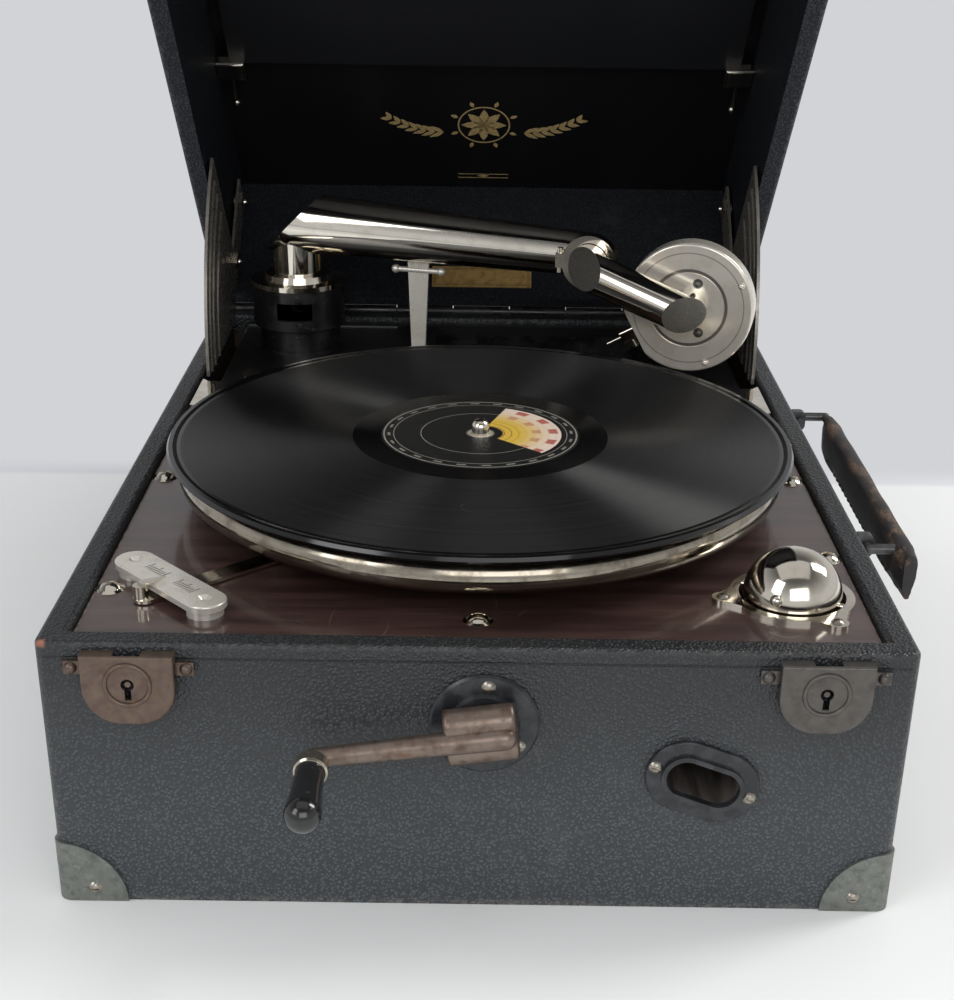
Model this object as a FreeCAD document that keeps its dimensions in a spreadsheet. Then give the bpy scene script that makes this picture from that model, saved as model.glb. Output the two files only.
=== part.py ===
# Portable wind-up gramophone: a suitcase machine with a hinged lid, clockwork motor, bent tone arm and horn.
# Millimetres, +Z up, +Y to the back. The origin is the middle of the base's underside.
import FreeCAD, Part
import math
import os
import Sketcher
from types import SimpleNamespace
from FreeCAD import Placement, Rotation, Vector

SIZES = {
    # Case and deck
    "case_width": 292, "case_depth": 406, "base_height": 102, "case_wall": 9.5, "floor_board": 6,
    "corner_round": 4, "rim_round": 2, "deck_drop": 3, "deck_board": 5, "deck_gap": 0.4,
    "deck_edge_round": 1, "stay_bay_width": 9, "stay_bay_front": 84, "cleat_width": 7, "cleat_height": 14,
    "cleat_end": 80, "mouth_left": -24, "mouth_right": 122, "mouth_front": 120, "mouth_back": 187,
    "screw_head": 4.2, "screw_dome": 1.9, "screw_shank": 1.8, "washer_radius": 5.4, "washer_thick": 0.6,
    "small_screw": 2.4, "small_dome": 1.2, "screw_slot": 0.7, "slot_depth": 0.6,
    "guard_reach": 24, "guard_thick": 1, "guard_screw_in": 12.5, "guard_screw_up": 5.5,
    # Lid and its hinge
    "lid_height": 82.2, "lid_wall": 9, "lid_top": 4.5, "lid_round": 4, "lining_thick": 1.5, "rim_gap": 0.4,
    "open_angle": 50, "hinge_back": 3.4, "hinge_rise": 0.2, "knuckle_radius": 3, "pin_radius": 1.5,
    "pin_play": 0.06, "leaf_thick": 1.2, "leaf_height": 20, "hinge_length": 282, "knuckle_gap": 0.4,
    "knuckle_count": 9, "knuckle_web": 6, "tray_board": 2, "tray_pocket": 6, "tray_gap": 7, "tray_edge": 117,
    "catch_width": 15, "catch_length": 12, "catch_over": 4, "catch_thick": 5, "catch_round": 1.5,
    "catch_stem": 1.3, "catch_stem_length": 18, "catch_ball": 2.3,
    "stay_radius": 116, "stay_hub": 22, "stay_thick": 1.5, "stay_plane": 133.5, "stay_overlap": 1.5,
    "stay_bead": 1.5, "stay_lug_front": 41, "stay_lug_back": 22, "stay_lug_height": 56, "stay_lap": 8,
    "stay_spacer": 4, "nut_size": 7, "nut_thick": 2, "stud_ball": 2,
    "guide_radius": 30, "guide_out": 20, "guide_behind": 22, "guide_length": 39, "guide_thick": 1.2,
    "plate_width": 55, "plate_height": 13.5, "plate_thick": 0.6, "plate_up": 7,
    # Locks and hasps
    "lock_spread": 229.4, "lock_width": 31, "lock_low": 74, "lock_high": 99.3, "lock_shoulder": 13,
    "lock_proud": 5, "lock_skin": 1, "lock_ring": 7.4, "lock_ring_wire": 0.8, "lock_ring_height": 89,
    "keyhole_radius": 2.2, "keyway_width": 2.2, "keyway_drop": 5.6, "key_pin": 1,
    "bolt_height": 4.8, "bolt_thick": 1.3, "bolt_length": 43, "bolt_level": 93.5, "bolt_knob": 2.2,
    "hasp_width": 8, "hasp_thick": 1.2, "hasp_plate": 14, "hasp_lip": 2.5, "hasp_neck": 5, "hasp_reach": 12,
    "slide_gap": 0.3,
    # Crank, escutcheon and stow slot
    "crank_x": 2.5, "crank_height": 74, "escutcheon_radius": 18.5, "escutcheon_rim": 1.6,
    "escutcheon_dome": 3.2, "escutcheon_screws": 14.3, "crank_shaft_radius": 4.5, "crank_bore": 5.5,
    "crank_throw": 57, "crank_angle": 188, "crank_rod_root": 4.3, "crank_rod_tip": 3.3,
    "crank_rod_out": 11.2, "hub_left": 13, "hub_right": 11, "hub_lobe": 5.5, "hub_lobe_apart": 9.2,
    "hub_lobe_out": 7.5, "hub_round": 1.6, "hub_clear": 0.4, "knob_pin": 2.8, "knob_bore": 2.9, "knob_gap": 0.3,
    "knob_length": 30, "knob_bulb": 6.1, "knob_neck": 4.8, "knob_swell": 0.4, "knob_wall": 5, "knob_tip": 2,
    "ferrule_radius": 5.7, "ferrule_length": 6, "ferrule_bevel": 0.6,
    "stow_x": 77, "stow_height": 52.5, "stow_tilt": 20, "stow_length": 26, "stow_width": 13.5,
    "stow_wall": 1.2,
    "bezel_border": 7, "bezel_thick": 1.6, "bezel_lip": 1.7, "bezel_lip_height": 3, "stow_deep": 50,
    # Handle
    "handle_front": -100, "handle_back": 46, "handle_height": 96.5, "handle_axis_out": 3.4, "bail_wire": 2,
    "bail_reach": 13.4, "bracket_size": 9, "bracket_depth": 6.2, "bracket_round": 2.4, "bracket_gap": 0.4,
    "bail_play": 0.1, "grip_thick": 9.5, "grip_height": 20, "grip_front": -118, "grip_back": 43,
    "grip_over": 3.4, "grip_round": 4,
    # Turntable
    "spindle_y": -55.6, "spindle_radius": 3.6, "spindle_top": 130, "spindle_foot": 24.8,
    "platter_radius": 121, "platter_bead": 6.5, "platter_top": 120, "platter_sheet": 1.8, "platter_hub": 9,
    "platter_hub_drop": 10, "hub_fillet": 3, "felt_thick": 1.6, "felt_radius": 117, "record_radius": 125,
    "record_thick": 2, "record_lip": 0.3, "record_lip_in": 2.4, "record_lip_foot": 4, "record_bevel": 0.8,
    "label_radius": 40, "label_thick": 0.2, "record_hole": 3.7,
    # Needle bowl
    "bowl_x": 111.3, "bowl_y": -154.6, "bowl_hole": 18.7, "ring_outer": 22, "ring_inner": 18.9,
    "ring_thick": 1.5, "lug_reach": 29, "lug_tip": 4, "lug_root": 8, "lug_lap": 1.5, "cover_radius": 17.6,
    "cover_skin": 1.2, "cover_skirt": 2.2, "cup_radius": 15.4, "cup_skin": 1, "trunnion": 1.1,
    "trunnion_play": 0.08, "trunnion_short": 0.02, "bowl_turn": -30, "pip_radius": 2.2, "pip_tilt": 15,
    # Speed scale and lever
    "scale_x": -108.7, "scale_y": -157.9, "scale_length": 59, "scale_width": 15, "scale_turn": -46.8,
    "scale_thick": 2.6, "scale_lift": 3.2, "scale_foot": 6.5, "scale_screw_gap": 43, "scale_round": 0.8,
    "sink_small": 1.2, "sink_large": 2.6, "sink_deep": 1.2, "lever_pivot_x": -30, "lever_pivot_y": -89,
    "lever_reach": 119, "lever_width": 8, "lever_thick": 1.2, "lever_lift": 0.5, "lever_turn": 221.3,
    "lever_pin": 2.5, "lever_play": 0.06, "lever_head": 1.5, "finger_radius": 2.6, "pointer_height": 6.6,
    "pointer_length": 10.4, "pointer_half": 2, "pointer_thick": 0.8,
    "brake_at": 58, "brake_pad": 6, "brake_height": 7,
    # Tone arm
    "arm_x": -95, "arm_y": 150, "arm_turn": -14.5, "box_deck_gap": 8.7, "arm_drop": 5.5, "arm_reach": 155.5,
    "arm_big": 15.2, "arm_small": 10.5, "arm_stub": 9.8, "arm_leg": 12.3, "arm_skin": 1.2,
    "arm_leg_foot": 112, "arm_play": 0.3, "mitre_spare": 4, "drum_radius": 23.5, "drum_low_radius": 20,
    "drum_lip": 2, "drum_lip_height": 1.2, "drum_step": 110, "drum_cone": 1.5, "drum_top": 132,
    "drum_wall": 2.5, "window_width": 18, "window_height": 9, "window_level": 117, "flange_radius": 24.2,
    "flange_thick": 2.4, "collar_radius": 16.5, "collar_slope": 1, "collar_height": 3,
    "clamp_radius": 13.2, "clamp_width": 7, "clamp_gap": 0.6, "clamp_lug": 7, "clamp_lug_in": 1.5,
    "clamp_screw": 1.6, "clamp_screw_length": 12, "neck_offset": 29.2, "neck_radius": 9.3,
    "neck_length": 52.2, "neck_droop": 20.6, "box_radius": 31.2, "box_thick": 12, "box_front": 16.4,
    "box_groove": 18, "box_groove_half": 1, "box_groove_depth": 0.8, "box_flat": 2.5, "box_round": 1.4,
    "box_inner_screws": 12.8, "box_rim_screws": 3.6, "box_chamber": 3, "needle_angle": 210,
    "needle_out": 14, "needle_radius": 0.7, "holder_length": 8, "holder_half": 3, "holder_deep": 3.5,
    "holder_round": 1, "holder_screw": 1.7, "holder_screw_out": 7, "link_half": 1.2, "link_thick": 1,
    "link_gap": 1.4, "link_foot": 2.4, "diaphragm_radius": 25, "diaphragm_thick": 0.4, "diaphragm_play": 0.1,
    "rest_along": 65, "rest_foot_width": 7, "rest_top_width": 11, "rest_foot_length": 9, "rest_thick": 1.6,
    "rest_pin": 1.4, "rest_pin_drop": 4, "rest_pin_length": 24, "rest_ball": 2.2,
    # Motor
    "plate_left": -52, "plate_right": 64, "plate_front": -150, "plate_rear": -12, "motor_low": 22,
    "motor_high": 84, "motor_sheet": 2.5, "pillar_radius": 4, "pillar_inset": 6, "post_half": 5,
    "post_thick": 3, "hanger_half": 9, "barrel_x": 2.5, "barrel_y": -125, "barrel_radius": 38,
    "barrel_low": 28, "barrel_high": 58, "barrel_skin": 2, "great_teeth": 60, "great_module": 1.5,
    "great_thick": 3, "spring_turns": 8, "spring_thick": 0.8, "spring_core": 9, "spring_pitch": 3,
    "spring_play": 0.3, "arbor_radius": 6, "journal_radius": 4, "journal_play": 0.08, "end_play": 0.3,
    "crown_teeth": 30, "crown_radius": 18, "crown_plate": 3, "crown_half_face": 2, "crown_low": 60,
    "crown_high": 67.4, "winder_teeth": 10, "winder_radius": 6, "winder_half": 4, "winder_stop": 0.5,
    "second_pinion_teeth": 12, "second_teeth": 56, "second_module": 1, "second_low": 62, "second_thick": 3,
    "second_shaft": 3, "pinion_over": 2, "pinion_under": 1, "spindle_pinion_teeth": 14,
    "worm_teeth": 60, "worm_radius": 24, "worm_level": 42, "worm_starts": 3, "worm_pitch_radius": 4,
    "worm_dedendum": 1.1, "worm_addendum": 0.9, "worm_sunk": 0.2, "worm_length": 18, "thread_length": 14,
    "worm_wheel_thick": 2.4, "worm_hub_radius": 8, "worm_hub_length": 8, "governor_left": -16,
    "governor_right": 60, "governor_shaft_radius": 2, "governor_hub": 6, "governor_hub_length": 5,
    "governor_hub_before": 14, "leaf_radius": 4.6, "leaf_sheet": 1.2, "leaf_width": 4, "leaf_bow": 5,
    "weight_swing": 9.5, "weight_radius": 4.5, "weight_at": 32, "governor_disc": 13,
    "governor_disc_thick": 2, "governor_disc_at": 46,
    # Horn duct
    "horn_skin": 2, "horn_left": -121, "horn_right": 126, "horn_narrow_front": 130, "horn_narrow_low": 60,
    "horn_wide_front": 112, "horn_wide_low": 14, "horn_back": 190, "horn_inlet": 14,
}

doc = FreeCAD.newDocument("gramophone")
sheet = doc.addObject("Spreadsheet::Sheet", "Sizes")
for row, (word, value) in enumerate(SIZES.items(), start=1):
    sheet.set(f"A{row}", word)
    sheet.set(f"B{row}", str(value))
    sheet.setAlias(f"B{row}", word)
doc.recompute()


# A size with its number and the expression that binds it to the sheet
class Size:
    def __init__(self, number, text):
        self.number = number
        self.text = text

    def join(self, other, sign, number, swap=False):
        other_text = other.text if isinstance(other, Size) else repr(other)
        first, second = (other_text, self.text) if swap else (self.text, other_text)
        return Size(number, f"({first} {sign} {second})")

    def __add__(self, other):
        return self.join(other, "+", self.number + plain(other))

    def __radd__(self, other):
        return self.join(other, "+", plain(other) + self.number, True)

    def __sub__(self, other):
        return self.join(other, "-", self.number - plain(other))

    def __rsub__(self, other):
        return self.join(other, "-", plain(other) - self.number, True)

    def __mul__(self, other):
        return self.join(other, "*", self.number * plain(other))

    def __truediv__(self, other):
        return self.join(other, "/", self.number / plain(other))

    def __neg__(self):
        return Size(-self.number, f"(-{self.text})")


def plain(size):
    return size.number if isinstance(size, Size) else float(size)


def words(size):
    return size.text if isinstance(size, Size) else repr(float(size))


D = SimpleNamespace(**{word: Size(float(sheet.get(word)), f"Sizes.{word}") for word in SIZES})
n = SimpleNamespace(**{word: float(sheet.get(word)) for word in SIZES})
nodes = []

# Levels and faces that many pieces share, bound and plain
DECK_TOP = D.base_height - D.deck_drop
DECK_LOW = DECK_TOP - D.deck_board
INNER_X = D.case_width / 2 - D.case_wall
INNER_Y = D.case_depth / 2 - D.case_wall
RECORD_LOW = D.platter_top + D.felt_thick
deck_top = plain(DECK_TOP)
deck_low = plain(DECK_LOW)
front = -n.case_depth / 2
back = n.case_depth / 2
side = n.case_width / 2
inner_x = plain(INNER_X)
inner_y = plain(INNER_Y)
rim = n.base_height + n.rim_gap
ceiling = rim + n.lid_height - n.lid_top - n.lining_thick
hinge_y = back + n.hinge_back
hinge_z = n.base_height + n.hinge_rise
lid_inner_x = side - n.lid_wall
lid_inner_y = back - n.lid_wall
neck_fall = n.neck_length * math.sin(math.radians(n.neck_droop))
arm_end = deck_top + n.box_deck_gap + n.box_radius + neck_fall
arm_height = arm_end + n.arm_drop
X_AXIS = Vector(1, 0, 0)
Y_AXIS = Vector(0, 1, 0)
Z_AXIS = Vector(0, 0, 1)
TINY = 0.01
LID_OPEN = Placement(Vector(), Rotation(Vector(-1, 0, 0), n.open_angle), Vector(0, hinge_y, hinge_z))
ARM_FRAME = Placement(Vector(n.arm_x, n.arm_y, 0), Rotation(Z_AXIS, n.arm_turn))
NECK_FRAME = ARM_FRAME.multiply(Placement(Vector(n.arm_reach, 0, arm_end), Rotation(Y_AXIS, n.neck_droop)))


# Document objects

def bind(thing, **sizes):
    for name, size in sizes.items():
        thing.setExpression(name.replace("__", "."), words(size))


def node(thing, label):
    thing.Label = label
    nodes.append(thing)
    return thing


def feature(label, shape, placement=None):
    thing = doc.addObject("Part::Feature", label)
    thing.Shape = shape
    if placement:
        thing.Placement = placement.multiply(shape.Placement)
    return node(thing, label)


def block(name, length, width, height, x, y, z):
    thing = doc.addObject("Part::Box", name)
    bind(thing, Length=length, Width=width, Height=height)
    bind(thing, Placement__Base__x=x, Placement__Base__y=y, Placement__Base__z=z)
    return thing


def cylinder(name, radius, height, x, y, z, turn=None):
    thing = doc.addObject("Part::Cylinder", name)
    if turn:
        thing.Placement = Placement(Vector(), turn)
    bind(thing, Radius=radius, Height=height)
    bind(thing, Placement__Base__x=x, Placement__Base__y=y, Placement__Base__z=z)
    return thing


def cut(name, base, tool):
    thing = doc.addObject("Part::Cut", name)
    thing.Base = base
    thing.Tool = tool
    return thing


def fuse(name, *pieces):
    thing = doc.addObject("Part::MultiFuse", name)
    thing.Shapes = list(pieces)
    return thing


def new_body(label):
    return node(doc.addObject("PartDesign::Body", label), label)


# A sketch of closed outlines: points (x, y), or arcs to a point (x, y, centre x, centre y), and of circles
def sketch(body, role, outlines=(), circles=(), offset=0):
    drawing = body.newObject("Sketcher::SketchObject", body.Label + "_sketch")
    plane = next(piece for piece in body.Origin.OriginFeatures if piece.Role == role)
    drawing.AttachmentSupport = [(plane, "")]
    drawing.MapMode = "FlatFace"
    drawing.setExpression("AttachmentOffset.Base.z", words(offset))
    for outline in outlines:
        draw_outline(drawing, outline)
    for x, y, radius in circles:
        circle = Part.Circle(Vector(plain(x), plain(y), 0), Z_AXIS, plain(radius))
        index = drawing.addGeometry(circle, False)
        hold_point(drawing, index, 3, x, y)
        hold(drawing, Sketcher.Constraint("Radius", index, plain(radius)), radius)
    return drawing


def hold(drawing, constraint, size):
    index = drawing.addConstraint(constraint)
    drawing.setExpression(f"Constraints[{index}]", words(size))


def hold_point(drawing, index, place, x, y):
    hold(drawing, Sketcher.Constraint("DistanceX", -1, 1, index, place, plain(x)), x)
    hold(drawing, Sketcher.Constraint("DistanceY", -1, 1, index, place, plain(y)), y)


def draw_outline(drawing, outline):
    ends = []
    for point, following in zip(outline, outline[1:] + outline[:1]):
        start = Vector(plain(point[0]), plain(point[1]), 0)
        end = Vector(plain(following[0]), plain(following[1]), 0)
        if len(following) == 2:
            index = drawing.addGeometry(Part.LineSegment(start, end), False)
            ends.append((index, 1, 2))
            continue
        centre = Vector(plain(following[2]), plain(following[3]), 0)
        turns_left = (start - centre).cross(end - centre).z > 0
        first, last = (start, end) if turns_left else (end, start)
        angles = [math.atan2(tip.y - centre.y, tip.x - centre.x) for tip in (first, last)]
        circle = Part.Circle(centre, Z_AXIS, (first - centre).Length)
        index = drawing.addGeometry(Part.ArcOfCircle(circle, angles[0], angles[1]), False)
        ends.append((index, 1, 2) if turns_left else (index, 2, 1))
        chord = end - start
        if abs(chord.y) > abs(chord.x):
            hold(drawing, Sketcher.Constraint("DistanceX", -1, 1, index, 3, centre.x), following[2])
        else:
            hold(drawing, Sketcher.Constraint("DistanceY", -1, 1, index, 3, centre.y), following[3])
    for (index, begin, finish), (next_index, next_begin, _) in zip(ends, ends[1:] + ends[:1]):
        drawing.addConstraint(Sketcher.Constraint("Coincident", index, finish, next_index, next_begin))
    for (index, begin, _), point in zip(ends, outline):
        hold_point(drawing, index, begin, point[0], point[1])


def pad(body, drawing, length):
    made = body.newObject("PartDesign::Pad", body.Label + "_pad")
    made.Profile = drawing
    bind(made, Length=length)
    return made


def pocket(body, drawing, length, reverse=False):
    made = body.newObject("PartDesign::Pocket", body.Label + "_pocket")
    made.Profile = drawing
    made.Reversed = reverse
    bind(made, Length=length)
    doc.recompute()
    return made


def turn_profile(label, outline, placement=None):
    body = new_body(label)
    drawing = sketch(body, "XZ_Plane", [outline])
    made = body.newObject("PartDesign::Revolution", label + "_turned")
    made.Profile = drawing
    made.ReferenceAxis = (drawing, ["V_Axis"])
    made.Angle = 360
    doc.recompute()
    if placement:
        body.Placement = placement
    return body


def round_edges(body, radius, chosen):
    doc.recompute()
    base = body.Tip
    names = [f"Edge{i}" for i, edge in enumerate(base.Shape.Edges, start=1) if chosen(edge)]
    made = body.newObject("PartDesign::Fillet", body.Label + "_round")
    made.Base = (base, names)
    bind(made, Radius=radius)
    doc.recompute()
    return made


def rectangle(x0, x1, y0, y1):
    return [(x0, y0), (x1, y0), (x1, y1), (x0, y1)]


def at(x, y, z, turn=None):
    return Placement(Vector(x, y, z), turn or Rotation())


# Turns a piece made along +Z so that it points along another direction
def facing(direction):
    return Rotation(Z_AXIS, direction)


# Shapes

def slab(x0, x1, y0, y1, z0, z1):
    return Part.makeBox(x1 - x0, y1 - y0, z1 - z0, Vector(x0, y0, z0))


def rod(radius, start, end):
    start = Vector(*start)
    along = Vector(*end) - start
    return Part.makeCylinder(radius, along.Length, start, along)


def ring(outer, inner, low, high):
    outside = Part.makeCylinder(outer, high - low, Vector(0, 0, low))
    return outside.cut(Part.makeCylinder(inner, high - low, Vector(0, 0, low)))


def ball(radius, centre):
    return Part.makeSphere(radius, Vector(*centre))


# A spherical cap on the XY plane
def dome(radius, height):
    sphere_radius = (radius * radius + height * height) / (2 * height)
    whole = Part.makeSphere(sphere_radius, Vector(0, 0, height - sphere_radius))
    return whole.common(slab(-radius, radius, -radius, radius, 0, height))


def joined(first, *rest):
    return first.multiFuse(list(rest)).removeSplitter()


def polygon(points):
    corners = [Vector(*point) for point in points]
    return Part.Face(Part.makePolygon(corners + corners[:1]))


# A slot-shaped face on the XY plane, long side along X
def stadium(length, width):
    radius = width / 2
    half = length / 2 - radius
    top = Part.LineSegment(Vector(half, radius, 0), Vector(-half, radius, 0))
    low = Part.LineSegment(Vector(-half, -radius, 0), Vector(half, -radius, 0))
    left = Part.Arc(Vector(-half, radius, 0), Vector(-half - radius, 0, 0), Vector(-half, -radius, 0))
    right = Part.Arc(Vector(half, -radius, 0), Vector(half + radius, 0, 0), Vector(half, radius, 0))
    return Part.Face(Part.Wire([edge.toShape() for edge in (top, left, low, right)]))


def placed(shape, placement):
    moved = shape.copy()
    moved.Placement = placement.multiply(moved.Placement)
    return moved


# Pieces that stand on the front face look along -Y: their own Y is up and their own Z is outward
def on_front(x, z, turn=0):
    upright = Rotation(X_AXIS, 90).multiply(Rotation(Z_AXIS, turn))
    return Placement(Vector(x, front, z), upright)


# A gear with straight-sided teeth, a tooth's middle at the phase angle in degrees
def gear(teeth, pitch_radius, low, high, phase, bore=0.0):
    teeth = int(teeth)
    step = 2 * math.pi / teeth
    module = 2 * pitch_radius / teeth
    points = []
    for tooth in range(teeth):
        middle = math.radians(phase) + tooth * step
        root = pitch_radius - 1.15 * module
        tip = pitch_radius + 0.8 * module
        for angle, radius in ((-0.26, root), (-0.1, tip), (0.1, tip), (0.26, root)):
            turn = middle + angle * step
            points.append((radius * math.cos(turn), radius * math.sin(turn), low))
    wheel = polygon(points).extrude(Vector(0, 0, high - low))
    return wheel.cut(Part.makeCylinder(bore, high - low, Vector(0, 0, low))) if bore else wheel


def check_everything():
    doc.recompute()
    for thing in doc.Objects:
        if "Invalid" in thing.State or "Error" in thing.State:
            raise RuntimeError(f"{thing.Label} failed: {thing.State}")
    for thing in nodes:
        if thing.Shape.isNull() or not thing.Shape.isValid() or not thing.Shape.Solids:
            raise RuntimeError(f"{thing.Label} has no valid solid")


# Case

def make_case_walls():
    body = new_body("case_walls")
    half_x, half_y = D.case_width / 2, D.case_depth / 2
    pad(body, sketch(body, "XY_Plane", [rectangle(-half_x, half_x, -half_y, half_y)]), D.base_height)
    round_edges(body, D.corner_round, upright)
    inside = sketch(body, "XY_Plane", [rectangle(-INNER_X, INNER_X, -INNER_Y, INNER_Y)])
    pocket(body, inside, D.base_height, True)
    shaft = [(D.crank_x, D.crank_height, D.crank_bore)]
    pocket(body, sketch(body, "XZ_Plane", circles=shaft, offset=half_y), D.case_wall)
    slot = sketch(body, "XZ_Plane", [stow_outline()], offset=half_y)
    slot.AttachmentOffset = Placement(Vector(n.stow_x, n.stow_height, -front), Rotation(Z_AXIS, -n.stow_tilt))
    bind(slot, AttachmentOffset__Base__x=D.stow_x, AttachmentOffset__Base__y=D.stow_height)
    bind(slot, AttachmentOffset__Base__z=half_y)
    pocket(body, slot, D.case_wall)
    round_edges(body, D.rim_round, lambda edge: edge.BoundBox.ZMin > n.base_height - TINY)


def upright(edge):
    return abs(edge.tangentAt(edge.FirstParameter).z) > 0.9


def stow_outline():
    radius = D.stow_width / 2 + D.stow_wall
    half = D.stow_length / 2 - D.stow_width / 2
    return [(half, -radius), (half + radius, 0, half, 0), (half, radius, half, 0),
            (-half, radius), (-half - radius, 0, -half, 0), (-half, -radius, -half, 0)]


def make_case_floor():
    floor = block("floor", INNER_X * 2, INNER_Y * 2, D.floor_board, -INNER_X, -INNER_Y, 0)
    node(floor, "case_floor")


def make_deck_cleats():
    low = DECK_LOW - D.cleat_height
    length = D.cleat_end + INNER_Y
    right_x = INNER_X - D.cleat_width
    left = block("cleat_left", D.cleat_width, length, D.cleat_height, -INNER_X, -INNER_Y, low)
    right = block("cleat_right", D.cleat_width, length, D.cleat_height, right_x, -INNER_Y, low)
    across = block("cleat_front", INNER_X * 2, D.cleat_width, D.cleat_height, -INNER_X, -INNER_Y, low)
    node(fuse("cleats", left, right, across), "deck_cleats")


DECK_SCREWS = ((-133, -155), (-133.5, -46), (0, -176), (132.3, -41), (133.4, -120))


def deck_screw_places():
    edge = inner_x - n.deck_gap - n.washer_radius
    return [(max(-edge, min(edge, x)), y) for x, y in DECK_SCREWS]


def make_motor_board():
    body = new_body("motor_board")
    wide, deep, narrow = INNER_X - D.deck_gap, INNER_Y - D.deck_gap, INNER_X - D.stay_bay_width
    outline = [(-wide, -deep), (wide, -deep), (wide, D.stay_bay_front), (narrow, D.stay_bay_front),
               (narrow, deep), (-narrow, deep), (-narrow, D.stay_bay_front), (-wide, D.stay_bay_front)]
    pad(body, sketch(body, "XY_Plane", [outline], offset=DECK_LOW), D.deck_board)
    mouth = rectangle(D.mouth_left, D.mouth_right, D.mouth_front, D.mouth_back)
    holes = [(0, D.spindle_y, D.platter_hub), (D.arm_x, D.arm_y, D.horn_inlet),
             (D.bowl_x, D.bowl_y, D.bowl_hole),
             (D.lever_pivot_x, D.lever_pivot_y, D.lever_pin + D.lever_play)]
    holes += [(x, y, D.screw_shank) for x, y in deck_screw_places()]
    pocket(body, sketch(body, "XY_Plane", [mouth], holes, offset=DECK_LOW), D.deck_board, True)
    round_edges(body, D.deck_edge_round, outer_top_edge)


def outer_top_edge(edge):
    box = edge.BoundBox
    level = box.ZMin > deck_top - TINY
    at_side = max(abs(box.XMin), abs(box.XMax)) > inner_x - n.stay_bay_width - TINY
    at_end = max(abs(box.YMin), abs(box.YMax)) > inner_y - n.deck_gap - TINY
    straight = edge.Length > n.bowl_hole
    return level and straight and (at_side or at_end)


# A domed screw head with a slot across it
def slotted_head(radius, height):
    slot = slab(-radius, radius, -n.screw_slot / 2, n.screw_slot / 2, height - n.slot_depth, height)
    return dome(radius, height).cut(slot)


def make_deck_screws():
    washer = Part.makeCone(n.washer_radius, n.screw_head, n.washer_thick)
    head = placed(slotted_head(n.screw_head, n.screw_dome), at(0, 0, n.washer_thick))
    shank = Part.makeCylinder(n.screw_shank, n.deck_board, Vector(0, 0, -n.deck_board))
    screw = joined(washer, head, shank)
    screws = [placed(screw, at(x, y, deck_top)) for x, y in deck_screw_places()]
    feature("deck_screws", Part.makeCompound(screws))


def rounded_post(grow):
    post = slab(-side - grow, side + grow, front - grow, back + grow, 0, n.guard_reach)
    return post.makeFillet(n.corner_round + grow, [edge for edge in post.Edges if upright(edge)])


def make_corner_guards():
    skin = rounded_post(n.guard_thick).cut(rounded_post(0))
    corners = [(sx * side, sy * back) for sx in (-1, 1) for sy in (-1, 1)]
    guards = [skin.common(ball(n.guard_reach, (x, y, 0))) for x, y in corners]
    feature("corner_guards", Part.makeCompound(guards))


ESCUTCHEON_SCREWS = (85, -35, 205)
BOWL_LUGS = (187, 298, 62)


def around(radius, angle):
    return radius * math.cos(math.radians(angle)), radius * math.sin(math.radians(angle))


def make_case_screws():
    cap = slotted_head(n.small_screw, n.small_dome)
    level = n.guard_screw_up
    screws = []
    for sign in (-1, 1):
        x = sign * (side - n.guard_screw_in)
        screws.append(placed(cap, at(x, front - n.guard_thick, level, facing(-Y_AXIS))))
        screws.append(placed(cap, at(x, back + n.guard_thick, level, facing(Y_AXIS))))
        outer = sign * (side + n.guard_thick)
        for y in (front + n.guard_screw_in, back - n.guard_screw_in):
            screws.append(placed(cap, at(outer, y, level, facing(X_AXIS * sign))))
    for angle in ESCUTCHEON_SCREWS:
        x, z = around(n.escutcheon_screws, angle)
        place = at(n.crank_x + x, front - n.escutcheon_rim, n.crank_height + z, facing(-Y_AXIS))
        screws.append(placed(cap, place))
    for sign in (-1, 1):
        spot = on_front(n.stow_x, n.stow_height, -n.stow_tilt)
        reach = sign * (n.stow_length / 2 + n.bezel_border - n.small_screw - n.slide_gap)
        screws.append(placed(cap, spot.multiply(at(reach, 0, n.bezel_thick))))
    for angle in BOWL_LUGS:
        x, y = around(n.lug_reach - n.lug_tip, angle)
        screws.append(placed(cap, at(n.bowl_x + x, n.bowl_y + y, deck_top + n.ring_thick)))
    feature("case_screws", Part.makeCompound(screws))


def make_crank_escutcheon():
    step = D.escutcheon_screws - D.small_screw
    slope = D.escutcheon_rim / 2
    outline = [(D.crank_bore, 0), (D.escutcheon_radius, 0), (D.escutcheon_radius, D.escutcheon_rim / 2),
               (D.escutcheon_radius - D.escutcheon_rim / 2, D.escutcheon_rim), (step, D.escutcheon_rim),
               (step - slope, D.escutcheon_dome), (D.crank_bore, D.escutcheon_dome)]
    turn_profile("crank_escutcheon", outline, on_front(n.crank_x, n.crank_height))


def make_stow_slot():
    spot = on_front(n.stow_x, n.stow_height, -n.stow_tilt)
    opening = stadium(n.stow_length, n.stow_width)
    rim_face = stadium(n.stow_length + 2 * n.bezel_border, n.stow_width + 2 * n.bezel_border)
    plate = rim_face.extrude(Vector(0, 0, n.bezel_thick))
    edge = [piece for piece in plate.Edges if piece.BoundBox.ZMin > n.bezel_thick - TINY]
    plate = plate.makeFillet(n.bezel_thick / 2, edge)
    lip = stadium(n.stow_length + 2 * n.bezel_lip, n.stow_width + 2 * n.bezel_lip)
    plate = joined(plate, lip.extrude(Vector(0, 0, n.bezel_lip_height)))
    bezel = plate.cut(opening.extrude(Vector(0, 0, n.bezel_lip_height)))
    feature("stow_bezel", bezel, spot)
    outside = stadium(n.stow_length + 2 * n.stow_wall, n.stow_width + 2 * n.stow_wall)
    tube = outside.extrude(Vector(0, 0, -n.stow_deep))
    tube = tube.cut(opening.extrude(Vector(0, 0, n.stow_wall - n.stow_deep)))
    feature("stow_tube", tube, spot)


# Locks

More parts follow.
